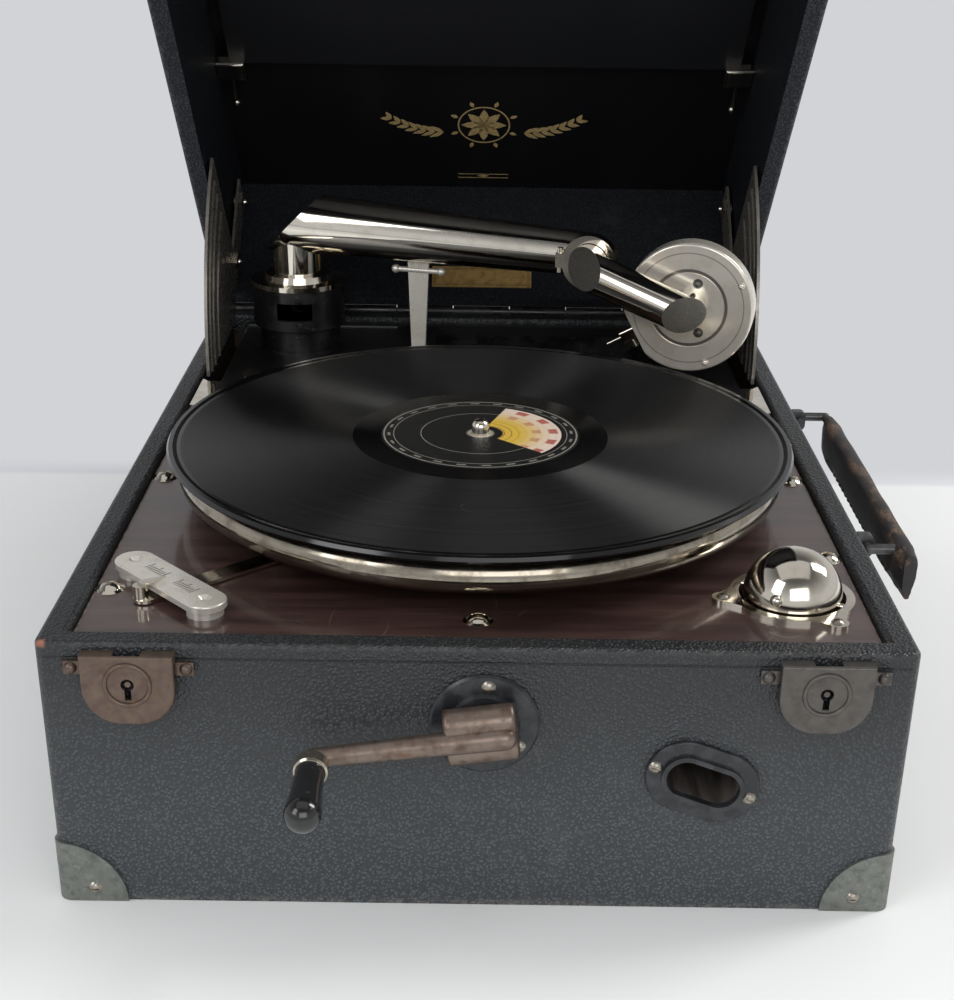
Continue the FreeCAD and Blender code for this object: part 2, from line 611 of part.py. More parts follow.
def shield(grow, depth):
    half = n.lock_width / 2 + grow
    low = n.lock_low - grow
    whole = slab(-half, half, low, n.lock_high + grow, 0, depth)
    lower = [edge for edge in whole.Edges if upright(edge) and edge.BoundBox.YMax < low + TINY]
    return whole.makeFillet(n.lock_shoulder + grow, lower)


def lock_plate():
    dish = shield(0, n.lock_proud)
    lip = [edge for edge in dish.Edges if edge.BoundBox.ZMin > n.lock_proud - TINY]
    dish = dish.makeFillet(n.lock_skin * 0.9, lip)
    dish = dish.cut(shield(-n.lock_skin, n.lock_proud - n.lock_skin))
    half_slot = n.hasp_width / 2 + n.slide_gap * 2
    inside = n.lock_proud - n.lock_skin
    top = slab(-half_slot, half_slot, n.lock_high - 2 * n.lock_skin, n.lock_high + n.lock_skin, 0, inside)
    bolt_room = n.bolt_height / 2 + n.slide_gap
    sides = slab(-n.lock_width, n.lock_width, n.bolt_level - bolt_room, n.bolt_level + bolt_room,
                 0, n.slide_gap + n.bolt_thick + n.bolt_knob + n.slide_gap)
    centre = Vector(0, n.lock_ring_height, inside)
    keyhole = Part.makeCylinder(n.keyhole_radius, n.lock_proud, centre)
    keyway = slab(-n.keyway_width / 2, n.keyway_width / 2, centre.y - n.keyway_drop, centre.y,
                  inside, n.lock_proud + n.lock_skin)
    wire = Part.makeTorus(n.lock_ring, n.lock_ring_wire, Vector(0, centre.y, n.lock_proud), Z_AXIS)
    wire = wire.common(placed(ring(n.lock_width, n.key_pin, -n.lock_skin / 2, n.lock_skin),
                              at(0, centre.y, n.lock_proud)))
    return joined(dish, wire).cut(Part.makeCompound([top, sides, keyhole, keyway]))


def key_pin():
    middle = n.lock_ring_height
    return rod(n.key_pin, (0, middle, 0), (0, middle, n.lock_proud - n.lock_skin / 2))


def make_locks():
    centres = (-n.lock_spread / 2, n.lock_spread / 2)
    lock = Part.makeCompound([lock_plate(), key_pin()])
    feature("lock_plates", Part.makeCompound([placed(lock, on_front(x, 0)) for x in centres]))
    half = n.bolt_length / 2
    low = n.bolt_level - n.bolt_height / 2
    bar = slab(-half, half, low, low + n.bolt_height, n.slide_gap, n.slide_gap + n.bolt_thick)
    knob = dome(n.bolt_knob, n.bolt_knob - n.slide_gap)
    reach = half - n.bolt_knob - n.slide_gap
    knobs = [placed(knob, at(x, n.bolt_level, n.slide_gap + n.bolt_thick)) for x in (-reach, reach)]
    bolt = joined(bar, *knobs)
    for label, x in zip(("lock_bolt_left", "lock_bolt_right"), centres):
        feature(label, bolt, on_front(x, 0))


# Handle

def bail_path():
    near = side + n.handle_axis_out
    far = near + n.bail_reach
    z = n.handle_height
    inset = n.bracket_size / 2
    first, last = n.handle_front - inset, n.handle_back + inset
    return [(near, n.handle_front + inset, z), (near, first, z), (far, first, z),
            (far, last, z), (near, last, z), (near, n.handle_back - inset, z)]


def bail_shape(radius):
    points = bail_path()
    runs = [rod(radius, start, end) for start, end in zip(points, points[1:])]
    elbows = [ball(radius, point) for point in points[1:-1]]
    return joined(runs[0], *runs[1:], *elbows)


def along_y(edge):
    return abs(edge.tangentAt(edge.FirstParameter).y) > 0.9


def make_handle():
    axis_x = side + n.handle_axis_out
    level = n.handle_height
    half = n.bracket_size / 2
    lug_half = half - n.bail_wire - n.bracket_gap
    brackets = []
    for y in (n.handle_front, n.handle_back):
        lug = slab(side, side + n.bracket_depth, y - lug_half, y + lug_half, level - half, level + half)
        corners = [edge for edge in lug.Edges if along_y(edge) and edge.BoundBox.XMin > side + TINY]
        lug = lug.makeFillet(n.bracket_round, corners)
        bore = rod(n.bail_wire + n.bail_play, (axis_x, y - half, level), (axis_x, y + half, level))
        brackets.append(lug.cut(bore))
    feature("handle_brackets", Part.makeCompound(brackets))
    feature("handle_bail", bail_shape(n.bail_wire))
    middle = axis_x + n.bail_reach
    top = level + n.grip_over
    grip = slab(middle - n.grip_thick / 2, middle + n.grip_thick / 2, n.grip_front, n.grip_back,
                top - n.grip_height, top)
    grip = grip.makeFillet(n.grip_round, [edge for edge in grip.Edges if along_y(edge)])
    feature("handle_grip", grip.cut(bail_shape(n.bail_wire)))


# Hinge and lid

def hinge_leaf(first, on_lid):
    count = int(n.knuckle_count)
    pitch = n.hinge_length / count
    length = pitch - n.knuckle_gap
    low, high = (hinge_z, hinge_z + n.knuckle_web) if on_lid else (hinge_z - n.knuckle_web, hinge_z)
    knuckles = []
    for index in range(first, count, 2):
        x = -n.hinge_length / 2 + index * pitch + n.knuckle_gap / 2
        knuckles.append(Part.makeCylinder(n.knuckle_radius, length, Vector(x, hinge_y, hinge_z), X_AXIS))
        knuckles.append(slab(x, x + length, back, hinge_y - n.pin_radius - n.leaf_thick / 2, low, high))
    half = n.hinge_length / 2
    if on_lid:
        low, high = rim + n.knuckle_radius, rim + n.leaf_height
    else:
        low, high = n.base_height - n.leaf_height, n.base_height - n.knuckle_radius
    return joined(slab(-half, half, back, back + n.leaf_thick, low, high), *knuckles)


def make_hinge():
    half = n.hinge_length / 2
    ends = (-half, hinge_y, hinge_z), (half, hinge_y, hinge_z)
    pin = rod(n.pin_radius, *ends)
    feature("hinge_leaf_base", joined(hinge_leaf(0, False), pin))
    feature("hinge_leaf_lid", hinge_leaf(1, True).cut(rod(n.pin_radius + n.pin_play, *ends)), LID_OPEN)


def make_lid_shell():
    body = new_body("lid_shell")
    half_x, half_y = D.case_width / 2, D.case_depth / 2
    level = D.base_height + D.rim_gap
    outside = sketch(body, "XY_Plane", [rectangle(-half_x, half_x, -half_y, half_y)], offset=level)
    pad(body, outside, D.lid_height)
    round_edges(body, D.corner_round, upright)
    round_edges(body, D.lid_round, lambda edge: edge.BoundBox.ZMin > rim + n.lid_height - TINY)
    inside_x, inside_y = half_x - D.lid_wall, half_y - D.lid_wall
    hollow = sketch(body, "XY_Plane", [rectangle(-inside_x, inside_x, -inside_y, inside_y)], offset=level)
    pocket(body, hollow, D.lid_height - D.lid_top, True)
    round_edges(body, D.rim_round, on_lid_outside)
    body.Placement = LID_OPEN


def on_lid_outside(edge):
    box = edge.BoundBox
    at_side = max(abs(box.XMin), abs(box.XMax)) > side - n.corner_round - TINY
    at_end = max(abs(box.YMin), abs(box.YMax)) > back - n.corner_round - TINY
    return box.ZMax < rim + TINY and at_side and at_end


def lid_block(label, x0, x1, y0, y1, z0, z1):
    feature(label, slab(x0, x1, y0, y1, z0, z1), LID_OPEN)


def make_lid_linings():
    top = ceiling + n.lining_thick
    lid_block("lid_lining", -lid_inner_x, lid_inner_x, -lid_inner_y, lid_inner_y, ceiling, top)
    high = ceiling - n.tray_pocket
    half = lid_inner_x - n.tray_gap
    lid_block("record_tray", -half, half, -lid_inner_y, hinge_y - n.tray_edge, high - n.tray_board, high)
    low = rim + n.plate_up
    half = n.plate_width / 2
    lid_block("brass_plate", -half, half, lid_inner_y - n.plate_thick, lid_inner_y, low, low + n.plate_height)


def make_tray_catches():
    under = ceiling - n.tray_pocket - n.tray_board
    edge = hinge_y - n.tray_edge - n.catch_over
    low = under - n.catch_thick
    pieces = []
    for sign in (-1, 1):
        inner = sign * (lid_inner_x - n.catch_width)
        outer = sign * lid_inner_x
        cap = slab(min(inner, outer), max(inner, outer), edge, edge + n.catch_length, low, under)
        lip = [piece for piece in cap.Edges if piece.BoundBox.ZMax < low + TINY]
        cap = cap.makeFillet(n.catch_round, lip)
        x = (inner + outer) / 2
        start = (x, edge + n.catch_length - n.catch_stem, (low + under) / 2)
        tip = (x, edge + n.catch_length + n.catch_stem_length, (low + under) / 2)
        pieces.append(joined(cap, rod(n.catch_stem, start, tip), ball(n.catch_ball, tip)))
    feature("tray_catches", Part.makeCompound(pieces), LID_OPEN)


def stay_sector(low, high):
    span = math.radians(n.open_angle + n.stay_overlap)
    hub, reach = n.stay_hub, n.stay_radius

    def spot(radius, angle):
        return Vector(low, hinge_y - radius * math.cos(angle), hinge_z - radius * math.sin(angle))

    edges = [Part.LineSegment(spot(hub, 0), spot(reach, 0)),
             Part.Arc(spot(reach, 0), spot(reach, span / 2), spot(reach, span)),
             Part.LineSegment(spot(reach, span), spot(hub, span)),
             Part.Arc(spot(hub, span), spot(hub, span / 2), spot(hub, 0))]
    return Part.Face(Part.Wire([edge.toShape() for edge in edges])).extrude(Vector(high - low, 0, 0))


BEAD_SHARES = (0.72, 0.84, 0.93)


def stay_plate():
    thick = n.stay_thick
    inward = stay_sector(-n.stay_bead, thick / 2)
    middle = Vector(thick / 2, hinge_y, hinge_z)
    beads = [Part.makeTorus(n.stay_radius * share, n.stay_bead, middle, X_AXIS).common(inward)
             for share in BEAD_SHARES]
    lug = slab(0, thick, hinge_y - n.stay_radius, hinge_y - n.stay_hub, hinge_z, rim + n.stay_lap)
    ear = slab(0, thick, hinge_y - n.stay_lug_front, hinge_y - n.stay_lug_back,
               hinge_z, rim + n.stay_lug_height)
    wall = lid_inner_x - n.stay_plane
    y = stud_y()
    spacers = [rod(n.stay_spacer, (thick, y, level), (wall, y, level)) for level in stud_levels()]
    return joined(stay_sector(0, thick), *beads, lug, ear, *spacers)


def stud_y():
    return hinge_y - (n.stay_lug_front + n.stay_lug_back) / 2


def stud_levels():
    return rim + n.stay_lap, rim + n.stay_lug_height - n.stay_lap


def make_lid_stays():
    plate = placed(stay_plate(), at(n.stay_plane, 0, 0))
    mirror = plate.mirror(Vector(), X_AXIS)
    feature("lid_stays", Part.makeCompound([plate, mirror]), LID_OPEN)
    bolts = []
    half = n.nut_size / 2
    y = stud_y()
    for sign in (-1, 1):
        face = sign * n.stay_plane
        inner = face - sign * n.nut_thick
        for z in stud_levels():
            nut = slab(min(face, inner), max(face, inner), y - half, y + half, z - half, z + half)
            bolts.append(joined(nut, ball(n.stud_ball, (inner, y, z))))
    feature("stay_bolts", Part.makeCompound(bolts), LID_OPEN)


def make_stay_guides():
    high = deck_top + n.guide_thick
    room_x = inner_x - 2 * n.deck_gap
    last = n.stay_bay_front - n.deck_edge_round
    room = slab(-room_x, room_x, last - n.guide_length, last, deck_top, high)
    guides = []
    for sign in (-1, 1):
        centre = Vector(sign * (inner_x + n.guide_out), n.stay_bay_front - n.guide_behind, deck_top)
        guides.append(Part.makeCylinder(n.guide_radius, n.guide_thick, centre).common(room))
    feature("stay_guides", Part.makeCompound(guides))


def make_lid_hasps():
    low, high = rim + n.hasp_lip, rim + n.hasp_neck
    tongue_back = front - n.lock_proud + n.lock_skin + n.slide_gap * 2 + n.hasp_thick
    tongue_front = tongue_back - n.hasp_thick
    pieces = []
    for x in (-n.lock_spread / 2, n.lock_spread / 2):
        half = n.hasp_plate / 2
        plate = slab(x - half, x + half, front - n.hasp_thick, front, low, rim + n.hasp_plate)
        half = n.hasp_width / 2
        neck = slab(x - half, x + half, tongue_front, front, low, high)
        tongue = slab(x - half, x + half, tongue_front, tongue_back, rim - n.hasp_reach, high)
        pieces.append(joined(plate, neck, tongue))
    feature("lid_hasps", Part.makeCompound(pieces), LID_OPEN)


# Turntable

def make_turntable():
    level = D.platter_top
    bead = D.platter_radius - D.platter_bead
    middle = level - D.platter_bead
    low = level - D.platter_sheet
    hub_foot = level - D.platter_hub_drop
    disc = [(D.spindle_radius, hub_foot), (D.platter_hub - D.felt_thick, hub_foot),
            (D.platter_hub, low - D.hub_fillet), (D.platter_hub + D.hub_fillet, low),
            (bead, low), (bead, level - D.platter_bead * 2), (D.platter_radius, middle, bead, middle),
            (bead, level, bead, middle), (D.spindle_radius, level)]
    turn_profile("platter", disc, at(0, n.spindle_y, 0))
    felt = cylinder("felt_disc", D.felt_radius, D.felt_thick, 0, D.spindle_y, D.platter_top)
    hole = cylinder("felt_hole", D.spindle_radius, D.felt_thick, 0, D.spindle_y, D.platter_top)
    node(cut("felt", felt, hole), "turntable_felt")
    make_record()


def make_record():
    top = RECORD_LOW + D.record_thick
    lip = top + D.record_lip
    edge = D.record_radius
    disc = [(D.record_hole, RECORD_LOW), (edge - D.record_bevel, RECORD_LOW),
            (edge, RECORD_LOW + D.record_thick / 2), (edge - D.record_bevel, lip),
            (edge - D.record_lip_in, lip), (edge - D.record_lip_foot, top), (D.record_hole, top)]
    turn_profile("record", disc, at(0, n.spindle_y, 0))
    paper = cylinder("label_disc", D.label_radius, D.label_thick, 0, D.spindle_y, top)
    hole = cylinder("label_hole", D.record_hole, D.label_thick, 0, D.spindle_y, top)
    node(cut("label", paper, hole), "record_label")


def second_place():
    great = n.great_teeth * n.great_module / 2
    pinion = n.second_pinion_teeth * n.great_module / 2
    wheel = n.second_teeth * n.second_module / 2
    tip = n.spindle_pinion_teeth * n.second_module / 2
    return great + pinion, wheel + tip


def second_centre():
    first, second = second_place()
    start = Vector(n.barrel_x, n.barrel_y, 0)
    line = Vector(0, n.spindle_y, 0) - start
    along = (first * first - second * second + line.Length ** 2) / (2 * line.Length)
    aside = math.sqrt(first * first - along * along)
    unit = Vector(line).normalize()
    return start + unit * along + Vector(unit.y, -unit.x, 0) * aside


def heading(start, end):
    return math.degrees(math.atan2(end.y - start.y, end.x - start.x))


def make_spindle():
    centre = Vector(0, n.spindle_y, 0)
    towards = heading(centre, second_centre())
    tip_level = n.spindle_top - n.spindle_radius
    stem = rod(n.spindle_radius, (0, 0, n.spindle_foot), (0, 0, tip_level))
    tip = ball(n.spindle_radius, (0, 0, tip_level))
    low = n.second_low - n.pinion_over
    high = n.second_low + n.second_thick + n.pinion_over
    pinion = gear(n.spindle_pinion_teeth, n.spindle_pinion_teeth * n.second_module / 2, low, high, towards)
    feature("spindle", joined(stem, tip, pinion), at(0, n.spindle_y, 0))
    half = n.worm_wheel_thick / 2
    wheel = gear(n.worm_teeth, n.worm_radius, n.worm_level - half, n.worm_level + half, 90)
    half = n.worm_hub_length / 2
    hub = ring(n.worm_hub_radius, n.spindle_radius, n.worm_level - half, n.worm_level + half)
    bore = rod(n.spindle_radius, (0, 0, n.worm_level - half), (0, 0, n.worm_level + half))
    feature("worm_wheel", joined(wheel.cut(bore), hub), at(0, n.spindle_y, 0))


# Motor

def governor_y():
    return n.spindle_y + n.worm_radius + n.worm_pitch_radius


def motor_plate(name, outline, holes, level):
    plate = new_body(name)
    nodes.remove(plate)
    pad(plate, sketch(plate, "XY_Plane", [outline], holes, offset=level), D.motor_sheet)
    doc.recompute()
    return plate.Shape


def make_motor_frame():
    centre = second_centre()
    holes = [(0, D.spindle_y, D.spindle_radius + D.journal_play),
             (D.barrel_x, D.barrel_y, D.journal_radius + D.journal_play),
             (centre.x, centre.y, D.second_shaft + D.journal_play)]
    outline = rectangle(D.plate_left, D.plate_right, D.plate_front, D.plate_rear)
    plate = motor_plate("motor_plate_low", outline, holes[1:], D.motor_low)
    y, half = governor_y(), n.post_half
    bore = rod(n.governor_shaft_radius + n.journal_play, (n.plate_left, y, n.worm_level),
               (n.plate_right, y, n.worm_level))
    posts = [slab(x, x + n.post_thick, y - half, y + half, n.motor_low + n.motor_sheet, n.worm_level + half)
             for x in (n.governor_left, n.governor_right - n.post_thick)]
    feature("motor_bottom_plate", joined(plate, *[post.cut(bore) for post in posts]))
    plate = motor_plate("motor_plate_high", outline, holes, D.motor_high)
    half = n.hanger_half
    hanger = slab(n.crank_x - half, n.crank_x + half, n.plate_front, n.plate_front + n.post_thick,
                  n.crank_height - half, n.motor_high)
    shaft = rod(n.crank_shaft_radius + n.journal_play, (n.crank_x, front, n.crank_height),
                (n.crank_x, 0, n.crank_height))
    feature("motor_top_plate", joined(plate, hanger.cut(shaft)))
    pillars = []
    for x in (n.plate_left + n.pillar_inset, n.plate_right - n.pillar_inset):
        for y in (n.plate_front + n.pillar_inset, n.plate_rear - n.pillar_inset):
            pillars.append(rod(n.pillar_radius, (x, y, n.motor_low + n.motor_sheet), (x, y, n.motor_high)))
            pillars.append(rod(n.pillar_radius, (x, y, n.motor_high + n.motor_sheet), (x, y, deck_low)))
    feature("motor_pillars", Part.makeCompound(pillars))


def make_barrel():
    place = at(n.barrel_x, n.barrel_y, 0)
    towards = heading(Vector(n.barrel_x, n.barrel_y, 0), second_centre())
    floor = n.barrel_low + n.great_thick
    great = gear(n.great_teeth, n.great_teeth * n.great_module / 2, n.barrel_low, floor, towards)
    drum = rod(n.barrel_radius, (0, 0, n.barrel_low), (0, 0, n.barrel_high))
    inside = rod(n.barrel_radius - n.barrel_skin, (0, 0, floor), (0, 0, n.barrel_high - n.barrel_skin))
    bore = rod(n.arbor_radius + n.journal_play, (0, 0, n.motor_low), (0, 0, n.motor_high))
    feature("spring_barrel", joined(great, drum).cut(inside).cut(bore), place)
    feature("mainspring", mainspring(), place)


# The spring's strip winds out in half turns whose centres alternate
def mainspring():
    step = n.spring_pitch / 2
    turns = int(n.spring_turns * 2)
    inner, outer = [], []
    for half_turn in range(turns):
        radius = n.spring_core + half_turn * step
        centre = step / 2 if half_turn % 2 else -step / 2
        sign = -1 if half_turn % 2 else 1
        for chain, shift in ((inner, -n.spring_thick / 2), (outer, n.spring_thick / 2)):
            reach = radius + shift
            chain.append(Part.Arc(Vector(centre + sign * reach, 0, 0), Vector(centre, sign * reach, 0),
                                  Vector(centre - sign * reach, 0, 0)).toShape())
    caps = [Part.makeLine(end(inner), end(outer)) for end in (first_end, last_end)]
    strip = Part.Face(Part.Wire(Part.__sortEdges__(inner + outer + caps)))
    low = n.barrel_low + n.great_thick + n.spring_play
    height = n.barrel_high - n.barrel_skin - n.spring_play - low
    return placed(strip.extrude(Vector(0, 0, height)), at(0, 0, low))


def first_end(chain):
    return chain[0].valueAt(chain[0].FirstParameter)


def last_end(chain):
    return chain[-1].valueAt(chain[-1].LastParameter)


CROWN_TOOTH_SHARE = 0.22


def make_winding_arbor():
    low, high = n.motor_low, n.motor_high + n.motor_sheet
    clear = n.motor_sheet + n.end_play
    stem = rod(n.journal_radius, (0, 0, low), (0, 0, high))
    core = rod(n.arbor_radius, (0, 0, low + clear), (0, 0, high - clear))
    base = n.crown_low + n.crown_plate
    plate = rod(n.crown_radius + n.crown_half_face, (0, 0, n.crown_low), (0, 0, base))
    count = int(n.crown_teeth)
    half = CROWN_TOOTH_SHARE * 2 * math.pi * n.crown_radius / count
    x = n.crown_radius - n.crown_half_face
    top, narrow = n.crown_high, half / 2
    face = polygon([(x, -half, base), (x, half, base), (x, narrow, top), (x, -narrow, top)])
    tooth = face.extrude(Vector(2 * n.crown_half_face, 0, 0))
    turns = [Rotation(Z_AXIS, -90 + index * 360 / count) for index in range(count)]
    teeth = [placed(tooth, at(0, 0, 0, turn)) for turn in turns]
    feature("winding_arbor", joined(stem, core, plate, *teeth), at(n.barrel_x, n.barrel_y, 0))


def make_second_wheel():
    centre = second_centre()
    spindle = Vector(0, n.spindle_y, 0)
    barrel = Vector(n.barrel_x, n.barrel_y, 0)
    stem = rod(n.second_shaft, (0, 0, n.motor_low), (0, 0, n.motor_high + n.motor_sheet))
    low = n.barrel_low - n.pinion_under
    high = n.barrel_low + n.great_thick + n.pinion_over
    pinion = gear(n.second_pinion_teeth, n.second_pinion_teeth * n.great_module / 2, low, high,
                  heading(centre, barrel) + 180 / n.second_pinion_teeth)
    wheel = gear(n.second_teeth, n.second_teeth * n.second_module / 2, n.second_low,
                 n.second_low + n.second_thick, heading(centre, spindle) + 180 / n.second_teeth)
    feature("intermediate_wheel", joined(stem, pinion, wheel), at(centre.x, centre.y, 0))


def make_governor():
    place = at(0, governor_y(), n.worm_level, facing(X_AXIS))
    shaft = rod(n.governor_shaft_radius, (0, 0, n.governor_left), (0, 0, n.governor_right))
    lead = 2 * math.pi * n.worm_radius / n.worm_teeth * n.worm_starts
    half = n.worm_length / 2
    core = rod(n.worm_pitch_radius - n.worm_dedendum, (0, 0, -half), (0, 0, half))
    threads = [worm_thread(lead, start * 360 / n.worm_starts) for start in range(int(n.worm_starts))]
    feature("governor_shaft", joined(shaft, core, *threads), place)
    disc_low, disc_high = n.governor_disc_at, n.governor_disc_at + n.governor_disc_thick
    hub_low = n.weight_at - n.governor_hub_before
    hub_high = hub_low + n.governor_hub_length
    pieces = [ring(n.governor_hub, n.governor_shaft_radius, hub_low, hub_high),
              ring(n.governor_disc, n.governor_shaft_radius, disc_low, disc_high)]
    spring = governor_spring(hub_high)
    pieces += [placed(spring, at(0, 0, 0, Rotation(Z_AXIS, angle))) for angle in (0, 120, 240)]
    feature("governor_weights", joined(*pieces), place)


# A leaf spring bowed outward from the hub to the disc, with its weight in the middle
def governor_spring(start):
    near, far = n.leaf_radius, n.leaf_radius + n.leaf_sheet
    half, sheet = n.leaf_width / 2, n.leaf_sheet / 2
    bend = n.weight_at - n.leaf_bow
    leaf = slab(near, far, -half, half, start, bend)
    bow = polygon([(near, -half, bend), (far, -half, bend), (n.weight_swing + sheet, -half, n.weight_at),
                   (far, -half, n.governor_disc_at), (near, -half, n.governor_disc_at),
                   (n.weight_swing - sheet, -half, n.weight_at)])
    weight = ball(n.weight_radius, (n.weight_swing, 0, n.weight_at))
    return joined(leaf, bow.extrude(Vector(0, n.leaf_width, 0)), weight)


THREAD_SHARE = 0.16


def worm_thread(lead, phase):
    foot = lead / n.worm_starts * THREAD_SHARE
    root = n.worm_pitch_radius - n.worm_dedendum - n.worm_sunk
    tip = n.worm_pitch_radius + n.worm_addendum
    helix = Part.makeHelix(lead, n.thread_length, root)
    profile = Part.makePolygon([Vector(root, 0, -foot), Vector(tip, 0, -foot / 2), Vector(tip, 0, foot / 2),
                                Vector(root, 0, foot), Vector(root, 0, -foot)])
    thread = Part.Wire(helix.Edges).makePipeShell([profile], True, True)
    return placed(thread, at(0, 0, -n.thread_length / 2, Rotation(Z_AXIS, phase)))


# Crank

def make_crank():
    place = on_front(n.crank_x, n.crank_height)
    inner = front - n.barrel_y + n.crown_radius
    seat = n.escutcheon_dome + n.hub_clear
    shaft = rod(n.crank_shaft_radius, (0, 0, inner - n.winder_half - n.winder_stop), (0, 0, seat))
    pinion = gear(n.winder_teeth, n.winder_radius, inner - n.winder_half, inner + n.winder_half,
                  -90 + 180 / n.winder_teeth)
    feature("crank_shaft", joined(shaft, pinion), place)
    arm = joined(crank_hub(seat), *crank_rod())
    feature("crank_arm", arm, place.multiply(at(0, 0, 0, Rotation(Z_AXIS, n.crank_angle))))
    make_crank_knob()


# Two rounded lobes on a block, with a groove between them for the rod
def crank_hub(seat):
    first, last = -n.hub_right, n.hub_left
    half = n.hub_lobe_apart / 2
    pieces = []
    for y in (-half, half):
        lobe = rod(n.hub_lobe, (first, y, n.hub_lobe_out), (last, y, n.hub_lobe_out))
        ends = [edge for edge in lobe.Edges if edge.Closed]
        pieces.append(lobe.makeFillet(n.hub_round, ends))
    wide = half + n.hub_lobe
    room = slab(first, last, -wide, wide, seat, n.hub_lobe_out + n.hub_lobe)
    base = slab(first, last, n.hub_round - wide, wide - n.hub_round, seat, n.hub_lobe_out)
    return joined(base, *[piece.common(room) for piece in pieces])


def crank_rod():
    level = n.crank_rod_out
    start = n.crank_rod_root - n.hub_right
    length = n.crank_throw - start
    taper = Part.makeCone(n.crank_rod_root, n.crank_rod_tip, length, Vector(start, 0, level), X_AXIS)
    pin_end = level + n.crank_rod_tip + n.ferrule_length + n.knob_length - n.knob_wall - n.knob_tip
    pin = rod(n.knob_pin, (n.crank_throw, 0, level), (n.crank_throw, 0, pin_end))
    root = ball(n.crank_rod_root, (start, 0, level))
    tip = ball(n.crank_rod_tip, (n.crank_throw, 0, level))
    return taper, root, tip, pin


def make_crank_knob():
    bore, end = D.knob_bore, D.ferrule_length + D.knob_length
    bulb_at = end - D.knob_bulb
    radius, bevel = D.ferrule_radius, D.ferrule_bevel
    outline = [(bore, 0), (radius - bevel, 0), (radius, bevel), (radius, D.ferrule_length - bevel),
               (radius - bevel, D.ferrule_length), (D.knob_neck, D.ferrule_length + bevel),
               (D.knob_neck + D.knob_swell, end / 2), (D.knob_bulb, bulb_at), (0, end, 0, bulb_at),
               (0, end - D.knob_wall), (bore, end - D.knob_wall - D.knob_tip)]
    x, z = around(n.crank_throw, n.crank_angle)
    seat = at(0, 0, n.crank_rod_out + n.crank_rod_tip + n.knob_gap)
    turn_profile("crank_knob", outline, on_front(n.crank_x + x, n.crank_height + z).multiply(seat))


# Needle bowl

def make_needle_bowl():
    place = at(n.bowl_x, n.bowl_y, deck_top)
    rim_ring = ring(n.ring_outer, n.ring_inner, 0, n.ring_thick)
    root, far = n.ring_outer - n.lug_lap, n.lug_reach - n.lug_tip
    tip = Part.makeCylinder(n.lug_tip, n.ring_thick, Vector(far, 0, 0))
    web = polygon([(root, -n.lug_root, 0), (far, -n.lug_tip, 0), (far, n.lug_tip, 0), (root, n.lug_root, 0)])
    lug = joined(tip, web.extrude(Vector(0, 0, n.ring_thick)))
    lugs = [placed(lug, at(0, 0, 0, Rotation(Z_AXIS, angle))) for angle in BOWL_LUGS]
    well = Part.makeCylinder(n.ring_inner, n.ring_thick)
    feature("needle_ring", joined(rim_ring, *lugs).cut(well), place)
    level = at(n.bowl_x, n.bowl_y, deck_top + n.trunnion, Rotation(Z_AXIS, n.bowl_turn))
    feature("needle_cup", needle_cup(), level)
    feature("needle_cover", needle_cover(), level)


def needle_cup():
    outer, inner, wide = n.cup_radius, n.cup_radius - n.cup_skin, n.ring_outer
    lower = slab(-wide, wide, -wide, wide, -wide, 0)
    cup = ball(outer, (0, 0, 0)).common(lower)
    end = n.ring_inner - n.trunnion_short
    pins = [rod(n.trunnion, (sign * inner, 0, 0), (sign * end, 0, 0)) for sign in (-1, 1)]
    return joined(cup, *pins).cut(ball(inner, (0, 0, 0)))


def needle_cover():
    outer, wide = n.cover_radius, n.ring_outer
    shell = ball(outer, (0, 0, 0)).cut(ball(outer - n.cover_skin, (0, 0, 0)))
    shell = shell.common(slab(-wide, wide, -wide, wide, -n.cover_skirt, wide))
    bore = rod(n.trunnion + n.trunnion_play, (-wide, 0, 0), (wide, 0, 0))
    out, up = around(outer, n.pip_tilt)
    pip = ball(n.pip_radius, (0, -out, up)).cut(ball(outer - n.cover_skin / 2, (0, 0, 0)))
    return joined(shell, pip).cut(bore)


# Speed scale and lever

def make_speed_scale():
    place = at(n.scale_x, n.scale_y, deck_top, Rotation(Z_AXIS, n.scale_turn))
    low, high = n.scale_lift, n.scale_lift + n.scale_thick
    bar = placed(stadium(n.scale_length, n.scale_width), at(0, 0, low)).extrude(Vector(0, 0, n.scale_thick))
    edge = [piece for piece in bar.Edges if piece.BoundBox.ZMin > high - TINY]
    bar = bar.makeFillet(n.scale_round, edge)
    ends = [sign * n.scale_screw_gap / 2 for sign in (-1, 1)]
    feet = [rod(n.scale_foot, (x, 0, 0), (x, 0, low)) for x in ends]
    sinks = [Part.makeCone(n.sink_small, n.sink_large, n.sink_deep, Vector(x, 0, high - n.sink_deep))
             for x in ends]
    feature("speed_scale", joined(bar, *feet).cut(Part.makeCompound(sinks)), place)


